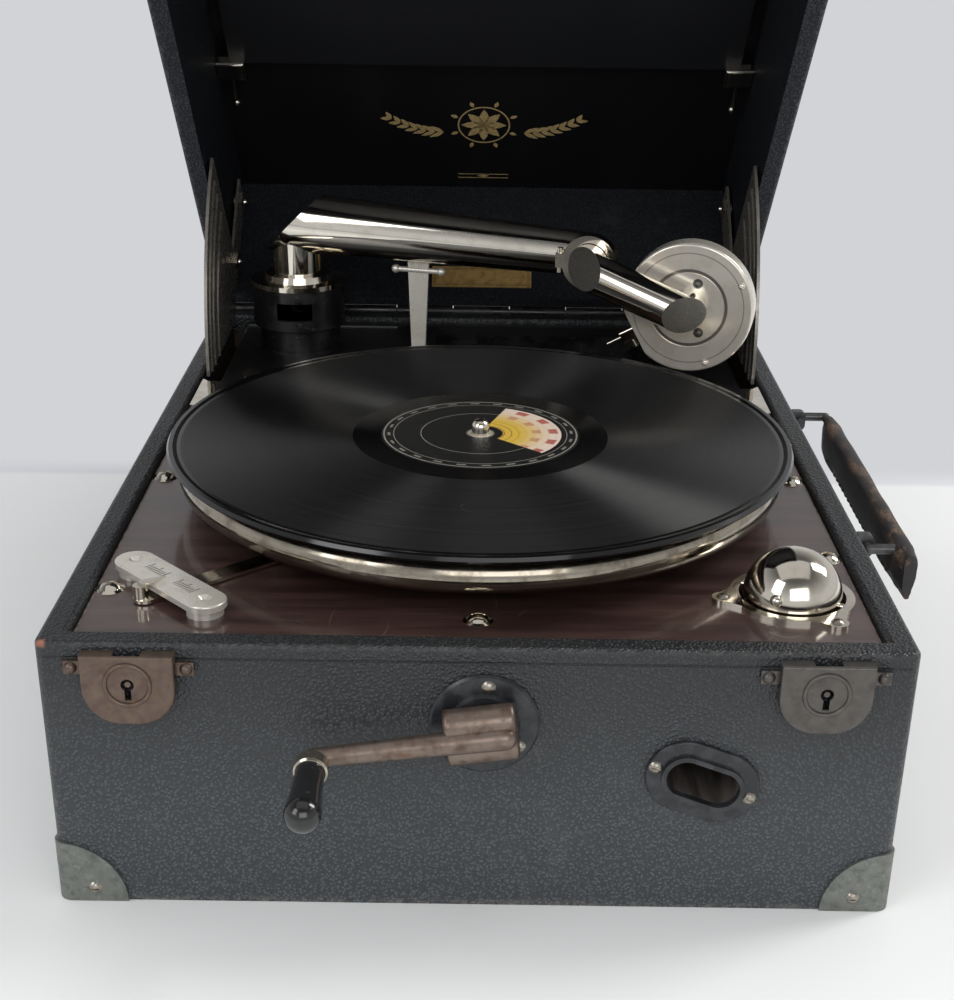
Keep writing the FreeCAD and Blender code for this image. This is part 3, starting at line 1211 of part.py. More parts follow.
def make_speed_lever():
    place = at(n.lever_pivot_x, n.lever_pivot_y, deck_top, Rotation(Z_AXIS, n.lever_turn))
    low, high = n.lever_lift, n.lever_lift + n.lever_thick
    reach, half = n.lever_reach, n.lever_width / 2
    strip = stadium(2 * reach, n.lever_width).extrude(Vector(0, 0, n.lever_thick))
    strip = placed(strip.common(slab(-half, reach, -half, half, 0, n.lever_thick)), at(0, 0, low))
    pin = rod(n.lever_pin, (0, 0, -n.deck_board), (0, 0, high + n.lever_head))
    x, top, wide = reach - n.finger_radius, n.pointer_height, n.pointer_half
    finger = rod(n.finger_radius, (x, 0, low), (x, 0, top))
    pointer = polygon([(x, -wide, top), (x, wide, top), (x - n.pointer_length, 0, top)])
    pointer = pointer.extrude(Vector(0, 0, n.pointer_thick))
    pad_half = n.brake_pad / 2
    first, last = n.brake_at - pad_half, n.brake_at + pad_half
    brake = slab(first, last, -pad_half, pad_half, low, high + n.brake_height)
    feature("speed_lever", joined(strip, pin, finger, pointer, brake), place)


# Tone arm

def half_space(point, normal):
    size = n.case_width
    cube = slab(-size, size, -size, size, 0, size)
    return placed(cube, Placement(Vector(*point), Rotation(Z_AXIS, Vector(*normal))))


REFLECTOR_SHARE = 0.7


# The tapered tube with its upright leg and its end stub, both turned by flat 45 degree reflectors
def arm_solid(skin):
    slope = n.arm_drop / n.arm_reach
    taper = (n.arm_big - n.arm_small) / n.arm_reach
    start_x = -n.arm_big - n.mitre_spare
    end_x = n.arm_reach + n.arm_small + n.mitre_spare
    start = Vector(start_x, 0, arm_height - slope * start_x)
    axis = Vector(end_x, 0, arm_height - slope * end_x) - start
    radius_start, radius_end = n.arm_big - taper * start_x, n.arm_big - taper * end_x
    tube = Part.makeCone(radius_start - skin, radius_end - skin, axis.Length, start, axis)
    leg = rod(n.arm_leg - skin, (0, 0, n.arm_leg_foot), (0, 0, arm_height + n.arm_big + n.mitre_spare))
    stub = rod(n.arm_stub - skin, (n.arm_reach, n.arm_small + n.mitre_spare, arm_end),
               (n.arm_reach, -stub_end(), arm_end))
    flat = skin * REFLECTOR_SHARE
    elbow_cut = half_space((flat, 0, arm_height - flat), (-1, 0, 1))
    end_cut = half_space((n.arm_reach - flat, -flat, arm_end), (1, 1, 0))
    return joined(tube, leg, stub).cut(elbow_cut).cut(end_cut)


# The clamp starts clear of the tube, and the two pipes meet in its middle
def clamp_start():
    return n.arm_small + n.clamp_gap


def stub_end():
    return clamp_start() + n.clamp_width / 2


def make_arm_tube():
    feature("arm_tube", arm_solid(0).cut(arm_solid(n.arm_skin)), ARM_FRAME)
    x, middle = n.arm_reach, -stub_end()
    first, last = -clamp_start(), -clamp_start() - n.clamp_width
    band = rod(n.clamp_radius, (x, first, arm_end), (x, last, arm_end))
    lug_x, half = x - n.clamp_radius, n.clamp_lug / 2
    lug = slab(lug_x - half, lug_x + half, last + n.clamp_lug_in, first - n.clamp_lug_in,
               arm_end - half, arm_end + half)
    screw_x, half = lug_x - n.clamp_screw, n.clamp_screw_length / 2
    screw = rod(n.clamp_screw, (screw_x, middle, arm_end - half), (screw_x, middle, arm_end + half))
    bore = rod(n.arm_stub, (x, 0, arm_end), (x, last, arm_end))
    feature("arm_clamp", joined(band, lug, screw).cut(bore), ARM_FRAME)


def neck_solid(skin):
    y = -n.neck_offset
    reach = n.neck_length
    radius = n.neck_radius
    beyond = radius + n.mitre_spare
    leg = rod(n.arm_stub - n.arm_play - skin, (0, y - beyond, 0), (0, -stub_end() - n.arm_play, 0))
    tube = rod(radius - skin, (-beyond, y, 0), (reach + beyond, y, 0))
    tail = rod(radius - skin, (reach, y - beyond, 0), (reach, -n.box_front, 0))
    flat = skin * REFLECTOR_SHARE
    first_cut = half_space((flat, y + flat, 0), (-1, -1, 0))
    last_cut = half_space((reach - flat, y + flat, 0), (1, -1, 0))
    return joined(leg, tube, tail).cut(first_cut).cut(last_cut)


def make_arm_neck():
    feature("arm_neck", neck_solid(0).cut(neck_solid(n.arm_skin)), NECK_FRAME)


# The sound box lies behind the neck's end; its own Z looks to the front
BOX_FRAME = NECK_FRAME.multiply(Placement(Vector(n.neck_length, -n.box_front, 0), Rotation(X_AXIS, 90)))
INNER_SCREWS = (93, 317, 223)
RIM_SCREWS = (48, 312)
box_cut = n.box_radius - n.box_flat


def make_sound_box():
    deep, wide = -n.box_thick, n.box_radius
    body = rod(wide, (0, 0, deep), (0, 0, 0))
    body = body.makeFillet(n.box_round, [edge for edge in body.Edges if edge.Closed])
    groove = ring(n.box_groove + n.box_groove_half, n.box_groove - n.box_groove_half, -n.box_groove_depth, 0)
    seat = rod(n.diaphragm_radius, (0, 0, deep), (0, 0, deep + n.box_groove_depth + n.diaphragm_thick))
    chamber = rod(n.diaphragm_radius - n.box_chamber / 2, (0, 0, deep), (0, 0, deep + n.box_chamber))
    channel = rod(n.neck_radius - n.arm_skin, (0, 0, deep), (0, 0, 0))
    chord = placed(slab(box_cut, wide, -wide, wide, deep, 0), at(0, 0, 0, needle_turn()))
    for tool in (groove, seat, chamber, channel, chord):
        body = body.cut(tool)
    heads = [screw_head(n.box_inner_screws, angle) for angle in INNER_SCREWS]
    heads += [screw_head(n.box_radius - n.box_rim_screws, angle) for angle in RIM_SCREWS]
    feature("sound_box", joined(body, *heads), BOX_FRAME)
    low = deep + n.box_groove_depth
    disc = rod(n.diaphragm_radius - n.diaphragm_play, (0, 0, low), (0, 0, low + n.diaphragm_thick))
    feature("diaphragm", disc, BOX_FRAME)


def screw_head(radius, angle):
    x, y = around(radius, angle)
    return placed(slotted_head(n.small_screw - n.slot_depth, n.small_dome), at(x, y, 0))


def needle_turn():
    return Rotation(Z_AXIS, n.needle_angle + n.neck_droop)


def make_needle_holder():
    middle = -n.box_thick / 2
    behind = -n.box_thick - n.link_gap
    half, deep = n.holder_half, n.holder_deep
    end = box_cut + n.holder_length
    clamp = slab(box_cut, end, -half, half, middle - deep, middle + deep)
    clamp = clamp.makeFillet(n.holder_round, [edge for edge in clamp.Edges if abs(edge.tangentAt(0).x) > 0.9])
    screw_at = box_cut + n.holder_length / 2
    screw = rod(n.holder_screw, (screw_at, 0, middle), (screw_at, n.holder_screw_out, middle))
    needle = rod(n.needle_radius, (screw_at, 0, middle), (n.box_radius + n.needle_out, 0, middle))
    low, half = behind - n.link_thick, n.link_half
    foot_at = box_cut + n.link_thick
    foot = slab(foot_at, foot_at + n.link_foot, -half, half, low, middle)
    bar = slab(0, foot_at + n.link_foot, -half, half, low, behind)
    post = rod(n.link_half, (half, 0, behind), (half, 0, -n.box_thick + n.box_groove_depth))
    holder = placed(joined(clamp, screw, needle, foot, bar, post), at(0, 0, 0, needle_turn()))
    feature("needle_holder", holder, BOX_FRAME)


def make_arm_drum():
    wall, inlet, radius = D.drum_wall, D.horn_inlet, D.drum_radius
    low, step, top = DECK_TOP, D.drum_step, D.drum_top
    foot = D.drum_low_radius + D.drum_lip
    bore = D.arm_leg + D.arm_play
    outline = [(inlet, low), (foot, low), (foot, low + D.drum_lip_height),
               (D.drum_low_radius, low + D.drum_lip_height), (D.drum_low_radius, step),
               (radius, step + D.drum_cone), (radius, top), (bore, top), (bore, top - wall),
               (radius - wall, top - wall), (radius - wall, step + D.drum_cone * 2), (inlet, step)]
    drum = turn_profile("arm_drum", outline, at(n.arm_x, n.arm_y, 0))
    half = D.window_width / 2
    opening = rectangle(-half, half, D.window_level, D.window_level + D.window_height)
    pocket(drum, sketch(drum, "XZ_Plane", [opening]), radius + wall, True)
    made = drum.newObject("PartDesign::PolarPattern", "drum_windows")
    made.Originals = [drum.Tip]
    made.Axis = (next(axis for axis in drum.Origin.OriginFeatures if axis.Role == "Z_Axis"), [""])
    made.Angle = 360
    made.Occurrences = 3
    drum.Tip = made
    make_arm_flange(bore, top)


def make_arm_flange(bore, low):
    edge, high = D.flange_radius, low + D.flange_thick
    top = high + D.collar_height
    outline = [(bore, low), (edge, low), (edge, high), (D.collar_radius + D.collar_slope, high),
               (D.collar_radius, top), (bore, top)]
    turn_profile("arm_flange", outline, at(n.arm_x, n.arm_y, 0))


def make_arm_rest():
    x = n.rest_along
    share = x / n.arm_reach
    under = arm_height - n.arm_drop * share - n.arm_big + (n.arm_big - n.arm_small) * share
    top = under - n.arm_play
    low_half, high_half, thick = n.rest_foot_width / 2, n.rest_top_width / 2, n.rest_thick / 2
    strip = polygon([(x - low_half, -thick, deck_top), (x + low_half, -thick, deck_top),
                     (x + high_half, -thick, top), (x - high_half, -thick, top)])
    strip = strip.extrude(Vector(0, n.rest_thick, 0))
    foot = slab(x - low_half, x + low_half, -thick, n.rest_foot_length, deck_top, deck_top + n.rest_thick)
    level = top - n.rest_pin_drop
    half = n.rest_pin_length / 2
    pin = rod(n.rest_pin, (x - half, 0, level), (x + half, 0, level))
    tips = [ball(n.rest_ball, (x + sign * half, 0, level)) for sign in (-1, 1)]
    feature("arm_rest", joined(strip, foot, pin, *tips), ARM_FRAME)


# Horn duct under the deck: narrow below the arm, wide below the mouth

def horn_section(x, y, z, skin):
    near, far = y + skin, n.horn_back - skin
    low, high = z + skin, deck_low - skin
    corners = [Vector(x, near, low), Vector(x, far, low), Vector(x, far, high), Vector(x, near, high)]
    return Part.makePolygon(corners + corners[:1])


def horn_solid(skin):
    small = horn_section(n.horn_left + skin, n.horn_narrow_front, n.horn_narrow_low, skin)
    large = horn_section(n.horn_right - skin, n.horn_wide_front, n.horn_wide_low, skin)
    return Part.makeLoft([small, large], True, True)


def make_horn():
    shell = horn_solid(0).cut(horn_solid(n.horn_skin))
    low = deck_low - 2 * n.horn_skin
    mouth = slab(n.mouth_left, n.mouth_right, n.mouth_front, n.mouth_back, low, deck_low)
    inlet = rod(n.horn_inlet, (n.arm_x, n.arm_y, low), (n.arm_x, n.arm_y, deck_low))
    feature("horn", shell.cut(mouth).cut(inlet))


make_case_walls()
make_case_floor()
make_deck_cleats()
make_motor_board()
make_deck_screws()
make_corner_guards()
make_case_screws()
make_crank_escutcheon()
make_stow_slot()
make_locks()
make_handle()
make_hinge()
make_lid_shell()
make_lid_linings()
make_tray_catches()
make_lid_stays()
make_stay_guides()
make_lid_hasps()
make_turntable()
make_spindle()
make_motor_frame()
make_barrel()
make_winding_arbor()
make_second_wheel()
make_governor()
make_crank()
make_needle_bowl()
make_speed_scale()
make_speed_lever()
make_arm_tube()
make_arm_neck()
make_sound_box()
make_needle_holder()
make_arm_drum()
make_arm_rest()
make_horn()
check_everything()

os.makedirs("parts", exist_ok=True)
for thing in nodes:
    thing.Shape.exportStep(f"parts/{thing.Label}.step")
print(f"{len(nodes)} nodes written")
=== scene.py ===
# Looks of a portable wind-up gramophone: pebbled case, nickel fittings and a shellac record
import math
import bmesh
import bpy
from mathutils import Matrix, Vector, noise


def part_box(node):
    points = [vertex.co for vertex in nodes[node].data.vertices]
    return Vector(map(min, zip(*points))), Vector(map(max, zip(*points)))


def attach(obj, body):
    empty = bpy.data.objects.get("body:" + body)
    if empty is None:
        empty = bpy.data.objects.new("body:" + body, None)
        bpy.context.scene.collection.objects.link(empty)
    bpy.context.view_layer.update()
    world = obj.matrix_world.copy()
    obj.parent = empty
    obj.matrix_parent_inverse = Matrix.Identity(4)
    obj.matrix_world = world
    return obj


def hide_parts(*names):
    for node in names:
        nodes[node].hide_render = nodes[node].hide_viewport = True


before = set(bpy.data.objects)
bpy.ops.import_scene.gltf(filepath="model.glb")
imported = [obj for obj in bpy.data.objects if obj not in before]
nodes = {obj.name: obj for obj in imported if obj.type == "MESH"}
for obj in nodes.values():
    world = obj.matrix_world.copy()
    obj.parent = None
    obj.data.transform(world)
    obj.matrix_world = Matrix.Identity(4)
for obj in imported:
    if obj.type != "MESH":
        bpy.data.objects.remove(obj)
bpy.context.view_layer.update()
MM = 0.001

# Places on the object, in metres, as the solids have them
CASE_HALF_X = 0.146
CASE_HALF_Y = 0.203
CASE_TOP = 0.102
WALL = 0.0095
INSIDE_X = CASE_HALF_X - WALL
INSIDE_Y = CASE_HALF_Y - WALL
DECK_UNDERSIDE = 0.092
DECK_EDGE_X = 0.1361
DECK_EDGE_Y = 0.1931
REAR_DECK = 0.069
HINGE = (0.0, 0.2064, 0.1022)
LID_OPEN = math.radians(50)
LID_CEILING = 0.1786
LID_TOP = 0.1846
PLATE_FOOT = 0.1094
PLATE_HALF_WIDTH = 0.0275
PLATE_HALF_HEIGHT = 0.00675
SPINDLE_Y = -0.0556
FELT_RADIUS = 0.117
FELT_BORE = 0.0038
GROOVES_FROM = 0.052
GROOVES_TO = 0.119
DRUM_TOP = 0.1335
ARM_ANGLE = math.radians(-14.5)
NECK_DROOP = math.radians(20.6)
BOX_GROOVE = 0.018
BOX_STEP = 0.0265
BOX_SCREWS = 0.0128
BOX_SCREW_TURNS = (93, 317, 223)
SCALE_SPOT = (-0.1087, -0.1579)
SCALE_TURN = math.radians(-46.8)
SCALE_TOP = 0.1048
KNOB_START = -0.2178
FERRULE = 0.006
GRIP_TOP = 0.0999


# A shader value that can be used in sums
def sum_of(operation, swap=False):
    def apply(self, other):
        first, second = (other, self) if swap else (self, other)
        return self.finish.node("Math", {"operation": operation}, {0: first, 1: second})
    return apply


class Signal:
    __add__ = sum_of("ADD")
    __radd__ = sum_of("ADD", True)
    __sub__ = sum_of("SUBTRACT")
    __rsub__ = sum_of("SUBTRACT", True)
    __mul__ = sum_of("MULTIPLY")
    __rmul__ = sum_of("MULTIPLY", True)
    higher = sum_of("MAXIMUM")
    lower = sum_of("MINIMUM")
    angle_from = sum_of("ARCTAN2")

    def __init__(self, finish, socket):
        self.finish = finish
        self.socket = socket

    def __abs__(self):
        return self.finish.node("Math", {"operation": "ABSOLUTE"}, {0: self})

    def wave(self):
        return self.finish.node("Math", {"operation": "SINE"}, {0: self})

    def root(self):
        return self.finish.node("Math", {"operation": "SQRT"}, {0: self})

    # Runs smoothly from start to end while the value runs from low to high
    def ramp(self, low, high, start=0.0, end=1.0):
        sockets = {"Value": self, "From Min": low, "From Max": high, "To Min": start, "To Max": end}
        return self.finish.node("MapRange", {"interpolation_type": "SMOOTHSTEP"}, sockets)

    # One where the value lies within reach of a middle, fading over soft
    def near(self, middle, reach, soft):
        return abs(self - middle).ramp(reach, reach + soft, 1.0, 0.0)


# A colour written as it should look, 0 to 255
def paint(red, green, blue):
    def linear(level):
        level = level / 255
        return level / 12.92 if level <= 0.04045 else ((level + 0.055) / 1.055) ** 2.4
    return linear(red), linear(green), linear(blue), 1.0


# A surface finish: its material, its shader and the nodes that feed it
class Finish:
    def __init__(self, name, **constants):
        self.material = bpy.data.materials.new(name)
        self.material.use_nodes = True
        self.tree = self.material.node_tree
        self.shader = self.tree.nodes["Principled BSDF"]
        self.spot = self.node("TexCoord", out="Object")
        self.facing = self.node("TexCoord", out="Normal")
        self.set(**constants)

    def node(self, kind, settings=None, sockets=None, out=0):
        made = self.tree.nodes.new("ShaderNode" + kind)
        for name, value in (settings or {}).items():
            setattr(made, name, value)
        for name, value in (sockets or {}).items():
            self.feed(made.inputs[name], value)
        return Signal(self, made.outputs[out])

    def feed(self, socket, value):
        if isinstance(value, Signal):
            self.tree.links.new(value.socket, socket)
        else:
            socket.default_value = value

    def set(self, **inputs):
        for name, value in inputs.items():
            self.feed(self.shader.inputs[name.replace("_", " ")], value)

    # What feeds one of the shader's inputs so far
    def fed(self, name):
        return Signal(self, self.shader.inputs[name].links[0].from_socket)

    def xyz(self, vector=None):
        first = self.node("SeparateXYZ", sockets={0: vector or self.spot})
        outputs = first.socket.node.outputs
        return [Signal(self, output) for output in outputs]

    def turned(self, vector, centre, axis, angle):
        sockets = {"Vector": vector, "Center": centre, "Axis": axis, "Angle": angle}
        return self.node("VectorRotate", {"rotation_type": "AXIS_ANGLE"}, sockets)

    def towards(self, direction):
        unit = Vector(direction).normalized()
        sockets = {0: self.facing, 1: tuple(unit)}
        return self.node("VectorMath", {"operation": "DOT_PRODUCT"}, sockets, out="Value")

    def stretched(self, stretch):
        return self.node("VectorMath", {"operation": "MULTIPLY"}, {0: self.spot, 1: stretch})

    # Soft random variation with features of one size
    def cloud(self, size, detail=2.0, stretch=None, rough=0.5):
        vector = self.stretched(stretch) if stretch else self.spot
        sockets = {"Vector": vector, "Scale": 1 / size, "Detail": detail, "Roughness": rough}
        return self.node("TexNoise", sockets=sockets)

    # Distance from the middle of random cells, 0 in the middle
    def cells(self, size, smooth=None, stretch=None):
        vector = self.stretched(stretch) if stretch else self.spot
        sockets = {"Vector": vector, "Scale": 1 / size}
        if smooth is None:
            return self.node("TexVoronoi", sockets=sockets)
        sockets["Smoothness"] = smooth
        return self.node("TexVoronoi", {"feature": "SMOOTH_F1"}, sockets)

    def mix(self, first, second, share):
        sockets = {"Factor": share, 6: first, 7: second}
        return self.node("Mix", {"data_type": "RGBA"}, sockets, out=2)

    def bump(self, height, depth, strength=1.0):
        sockets = {"Strength": strength, "Distance": depth, "Height": height}
        self.set(Normal=self.node("Bump", sockets=sockets))


# Leathercloth on the case and the lid

# Wear along the outer edges of a box, from how near a point is to two of its faces at once
def edge_wear(x, y, z, low, high):
    reach = 3.2 * MM
    near_x = abs(x).ramp(CASE_HALF_X - reach, CASE_HALF_X)
    near_y = abs(y).ramp(CASE_HALF_Y - reach, CASE_HALF_Y)
    near_low = z.ramp(low, low + reach, 1.0, 0.0)
    near_high = z.ramp(high - reach, high)
    near_z = near_low.higher(near_high)
    return (near_x * near_y).higher(near_x * near_z).higher(near_y * near_z)


# One inside the walls of the case or the lid, fading out just behind their inner faces
def within_walls(x, y, fade):
    start = 0.1 * MM
    between_sides = abs(x).ramp(INSIDE_X + start, INSIDE_X + start + fade, 1.0, 0.0)
    between_ends = abs(y).ramp(INSIDE_Y + start, INSIDE_Y + start + fade, 1.0, 0.0)
    return between_sides * between_ends


def pebbled_cloth(finish, base, light):
    pebble = finish.cells(1.25 * MM, 0.3)
    fine = finish.cloud(0.5 * MM, 2.0)
    patches = finish.cloud(55 * MM, 4.0)
    # Painted sheen and shade: the tops of the pebbles are painted lighter and the hollows between them
    # darker
    colour = finish.mix(light, base, pebble.ramp(0.1, 0.6))
    height = pebble.ramp(0.05, 0.7, 1.0, 0.0) + fine * 0.3
    return colour, height, patches


def add_scuffs(finish, colour, patches, wear):
    dust = finish.cloud(18 * MM, 5.0, rough=0.65).ramp(0.5, 0.78) * patches.ramp(0.42, 0.7)
    colour = finish.mix(colour, paint(118, 120, 120), dust * 0.2)
    chafed = wear * finish.cloud(3 * MM, 4.0, rough=0.7).ramp(0.42, 0.62)
    return finish.mix(colour, paint(112, 106, 102), chafed * 0.6)


def make_case_cloth():
    finish = Finish("leathercloth", Specular_IOR_Level=0.5)
    x, y, z = finish.xyz()
    colour, height, patches = pebbled_cloth(finish, paint(50, 53, 56), paint(80, 85, 89))
    wear = edge_wear(x, y, z, 0.0, CASE_TOP)
    colour = add_scuffs(finish, colour, patches, wear)
    # Painted shade: faces turned upwards and the upper part of the walls are darkened, where less light
    # falls than on the lower front
    painted_top_shade = finish.towards((0, 0, 1)).ramp(0.6, 0.95) * 0.85
    painted_top_shade = painted_top_shade.higher(z.ramp(0.03, CASE_TOP) * 0.65)
    colour = finish.mix(colour, paint(20, 21, 23), painted_top_shade)
    corner = abs(x + CASE_HALF_X - 2 * MM).higher(abs(y + CASE_HALF_Y)).higher(abs(z - CASE_TOP))
    colour = finish.mix(colour, paint(170, 104, 78), corner.ramp(1.2 * MM, 2.6 * MM, 1.0, 0.0) * 0.7)
    # A fold just below the top of the front and back: pressed in by the bump, and painted darker as
    # painted shade in the crease
    fold_and_shade = z.near(CASE_TOP - 5.5 * MM, 0.15 * MM, 0.35 * MM)
    fold_and_shade = fold_and_shade * abs(y).ramp(CASE_HALF_Y - 0.2 * MM, CASE_HALF_Y - 0.1 * MM)
    colour = finish.mix(colour, paint(20, 20, 22), fold_and_shade * 0.7)
    inside = within_walls(x, y, 0.6 * MM) * z.ramp(DECK_UNDERSIDE - 1.5 * MM, DECK_UNDERSIDE, 1.0, 0.0)
    grain = finish.cloud(2 * MM, 4.0, (0.06, 0.06, 1.0))
    wood = finish.mix(paint(52, 40, 30), paint(78, 62, 46), grain.ramp(0.35, 0.65))
    finish.set(Base_Color=finish.mix(colour, wood, inside))
    finish.set(Roughness=0.34 + patches * 0.18 - wear * 0.06 + inside * 0.3)
    finish.bump(height - fold_and_shade * 1.5, 0.45 * MM, 0.8)
    return finish.material


def make_lid_cloth():
    finish = Finish("lid_leathercloth", Specular_IOR_Level=0.06)
    closed = finish.turned(finish.spot, HINGE, (1.0, 0.0, 0.0), LID_OPEN)
    x, y, z = finish.xyz(closed)
    colour, height, patches = pebbled_cloth(finish, paint(42, 44, 48), paint(64, 67, 72))
    wear = edge_wear(x, y, z, CASE_TOP, LID_TOP)
    colour = add_scuffs(finish, colour, patches, wear)
    inside = within_walls(x, y, 0.8 * MM) * z.ramp(LID_CEILING + MM, LID_TOP - 2 * MM, 1.0, 0.0)
    colour = finish.mix(colour, paint(9, 9, 11), inside * 0.98)
    finish.set(Base_Color=colour, Roughness=0.36 + patches * 0.18 + inside * 0.2)
    finish.bump(height, 0.45 * MM, 0.7)
    return finish.material


# Black cloth-covered boards inside the lid
def make_lining(name, tone, shine):
    finish = Finish(name, Specular_IOR_Level=0.4)
    weave = finish.cells(0.8 * MM, 0.5)
    smear = finish.cloud(40 * MM, 5.0, (1.0, 0.35, 0.35), 0.6)
    level = finish.mix(paint(*tone), paint(34, 35, 38), smear.ramp(0.5, 0.8) * 0.3)
    rubbed = finish.cloud(7 * MM, 5.0, rough=0.7).ramp(0.62, 0.75) * smear.ramp(0.5, 0.66)
    finish.set(Base_Color=finish.mix(level, paint(78, 76, 74), rubbed * 0.25))
    finish.set(Roughness=shine + smear * 0.25)
    finish.bump(weave, 0.12 * MM, 0.35)
    return finish.material


# Woods

def make_deck_wood():
    finish = Finish("deck_wood", Coat_Roughness=0.09, Specular_IOR_Level=0.45)
    x, y = finish.xyz()[:2]
    along = (0.03, 1.0, 1.0)
    figure = finish.cloud(11 * MM, 4.0, (0.12, 1.0, 1.0), 0.55)
    grain = finish.cloud(0.9 * MM, 5.0, along, 0.6)
    pores = finish.cloud(0.55 * MM, 2.0, along).ramp(0.6, 0.72)
    colour = finish.mix(paint(44, 29, 27), paint(76, 55, 50), figure.ramp(0.3, 0.7))
    colour = finish.mix(colour, paint(38, 25, 23), grain.ramp(0.4, 0.7) * 0.5)
    colour = finish.mix(colour, paint(28, 18, 17), pores * 0.5)
    rear = y.ramp(REAR_DECK - 3 * MM, REAR_DECK + 3 * MM)
    colour = finish.mix(colour, paint(13, 13, 14), rear * 0.97)
    worn = finish.cloud(4 * MM, 4.0, rough=0.7).ramp(0.3, 0.6)
    rim = abs(x).ramp(DECK_EDGE_X - 1.4 * MM, DECK_EDGE_X - 0.5 * MM)
    rim = rim.higher(y.ramp(-DECK_EDGE_Y + 0.5 * MM, -DECK_EDGE_Y + 1.4 * MM, 1.0, 0.0))
    colour = finish.mix(colour, paint(150, 134, 124), rim * worn * 0.75)
    scratch = finish.cells(26 * MM, stretch=(1.0, 0.5, 1.0)).near(0.42, 0.002, 0.006)
    scratch = scratch * finish.cloud(30 * MM, 2.0).ramp(0.55, 0.68)
    colour = finish.mix(colour, paint(128, 108, 98), scratch * 0.35)
    finish.set(Base_Color=colour, Roughness=0.3 + figure * 0.12 + rim * 0.3)
    finish.set(Coat_Weight=0.75 - rim * 0.6 - worn * 0.1)
    finish.bump(grain * 0.5 - pores, 0.05 * MM, 0.25)
    return finish.material


def make_bare_wood():
    finish = Finish("bare_wood", Specular_IOR_Level=0.3)
    figure = finish.cloud(9 * MM, 4.0, (1.0, 0.1, 1.0), 0.55)
    grain = finish.cloud(0.9 * MM, 4.0, (1.0, 0.04, 1.0))
    colour = finish.mix(paint(126, 98, 68), paint(164, 134, 96), figure.ramp(0.3, 0.7))
    colour = finish.mix(colour, paint(104, 78, 52), grain.ramp(0.5, 0.75) * 0.6)
    finish.set(Base_Color=colour, Roughness=0.66 + grain * 0.2)
    finish.bump(grain, 0.1 * MM, 0.4)
    return finish.material


# Metals

# Plated or plain metal with a film of tarnish, small pits and hair scratches
def make_metal(name, bright, dull, shine, film_size=9.0, film=0.35, pits=0.3, metallic=1.0):
    finish = Finish(name, Metallic=metallic)
    tarnish = finish.cloud(film_size * MM, 5.0, rough=0.6).ramp(0.42, 0.72)
    spots = finish.cloud(0.9 * MM, 3.0, rough=0.6).ramp(0.66, 0.78)
    hair = finish.cloud(0.3 * MM, 2.0, (0.06, 1.0, 1.0))
    colour = finish.mix(paint(*bright), paint(*dull), tarnish * film)
    colour = finish.mix(colour, paint(*[level * 0.35 for level in dull]), spots * pits)
    finish.set(Base_Color=colour, Roughness=shine + tarnish * film * 0.22 + spots * pits * 0.4)
    finish.bump(hair - spots * pits, 0.02 * MM, 0.12)
    return finish


NICKEL = (226, 219, 206)
NICKEL_DULL = (176, 164, 140)


def make_nickel():
    return make_metal("nickel", NICKEL, NICKEL_DULL, 0.09, 12, 0.4, 0.2).material


# The turned rim of the turntable is a darker, browner nickel than the other fittings, all round
def make_rim_nickel():
    return make_metal("rim_nickel", (168, 160, 146), (104, 92, 74), 0.13, 6, 0.6, 0.35).material


# The speed scale and the arm's rest are nickel rubbed dull
def make_satin_nickel():
    return make_metal("satin_nickel", (214, 209, 199), (172, 164, 146), 0.24, 10, 0.35, 0.2, 0.55).material


# The handle's wire has lost its plating
def make_dark_wire():
    return make_metal("dark_wire", (92, 92, 94), (52, 50, 48), 0.34, 4, 0.6, 0.3, 0.8).material


def make_stay_metal():
    return make_metal("stay_metal", (138, 133, 125), (96, 90, 83), 0.24, 4, 0.45, 0.12, 0.6).material


def make_screw_metal():
    return make_metal("screw_metal", (168, 162, 152), (100, 92, 84), 0.28, 2, 0.7, 0.35).material


# The arm's flat reflectors are dull grey, its tubes bright
def make_arm_nickel(name, flats):
    finish = make_metal(name, (232, 226, 214), NICKEL_DULL, 0.07, 14, 0.3, 0.12)
    flat = None
    for direction in flats:
        facet = finish.towards(direction).ramp(0.995, 0.999)
        flat = facet if flat is None else flat.higher(facet)
    speckle = finish.cloud(0.8 * MM, 3.0, rough=0.7)
    grey = finish.mix(paint(74, 73, 70), paint(104, 102, 98), speckle.ramp(0.35, 0.65))
    finish.set(Base_Color=finish.mix(finish.fed("Base Color"), grey, flat * 0.9))
    finish.set(Roughness=finish.fed("Roughness") + flat * 0.3)
    return finish


# The arm's leg is painted near black inside its drum, as painted shade in the drum's hollow
def make_tube_nickel(flats):
    finish = make_arm_nickel("tube_nickel", flats)
    painted_drum_shade = finish.xyz()[2].ramp(DRUM_TOP, DRUM_TOP + 0.5 * MM, 1.0, 0.0)
    colour = finish.fed("Base Color")
    finish.set(Base_Color=finish.mix(colour, paint(16, 16, 17), painted_drum_shade))
    return finish.material


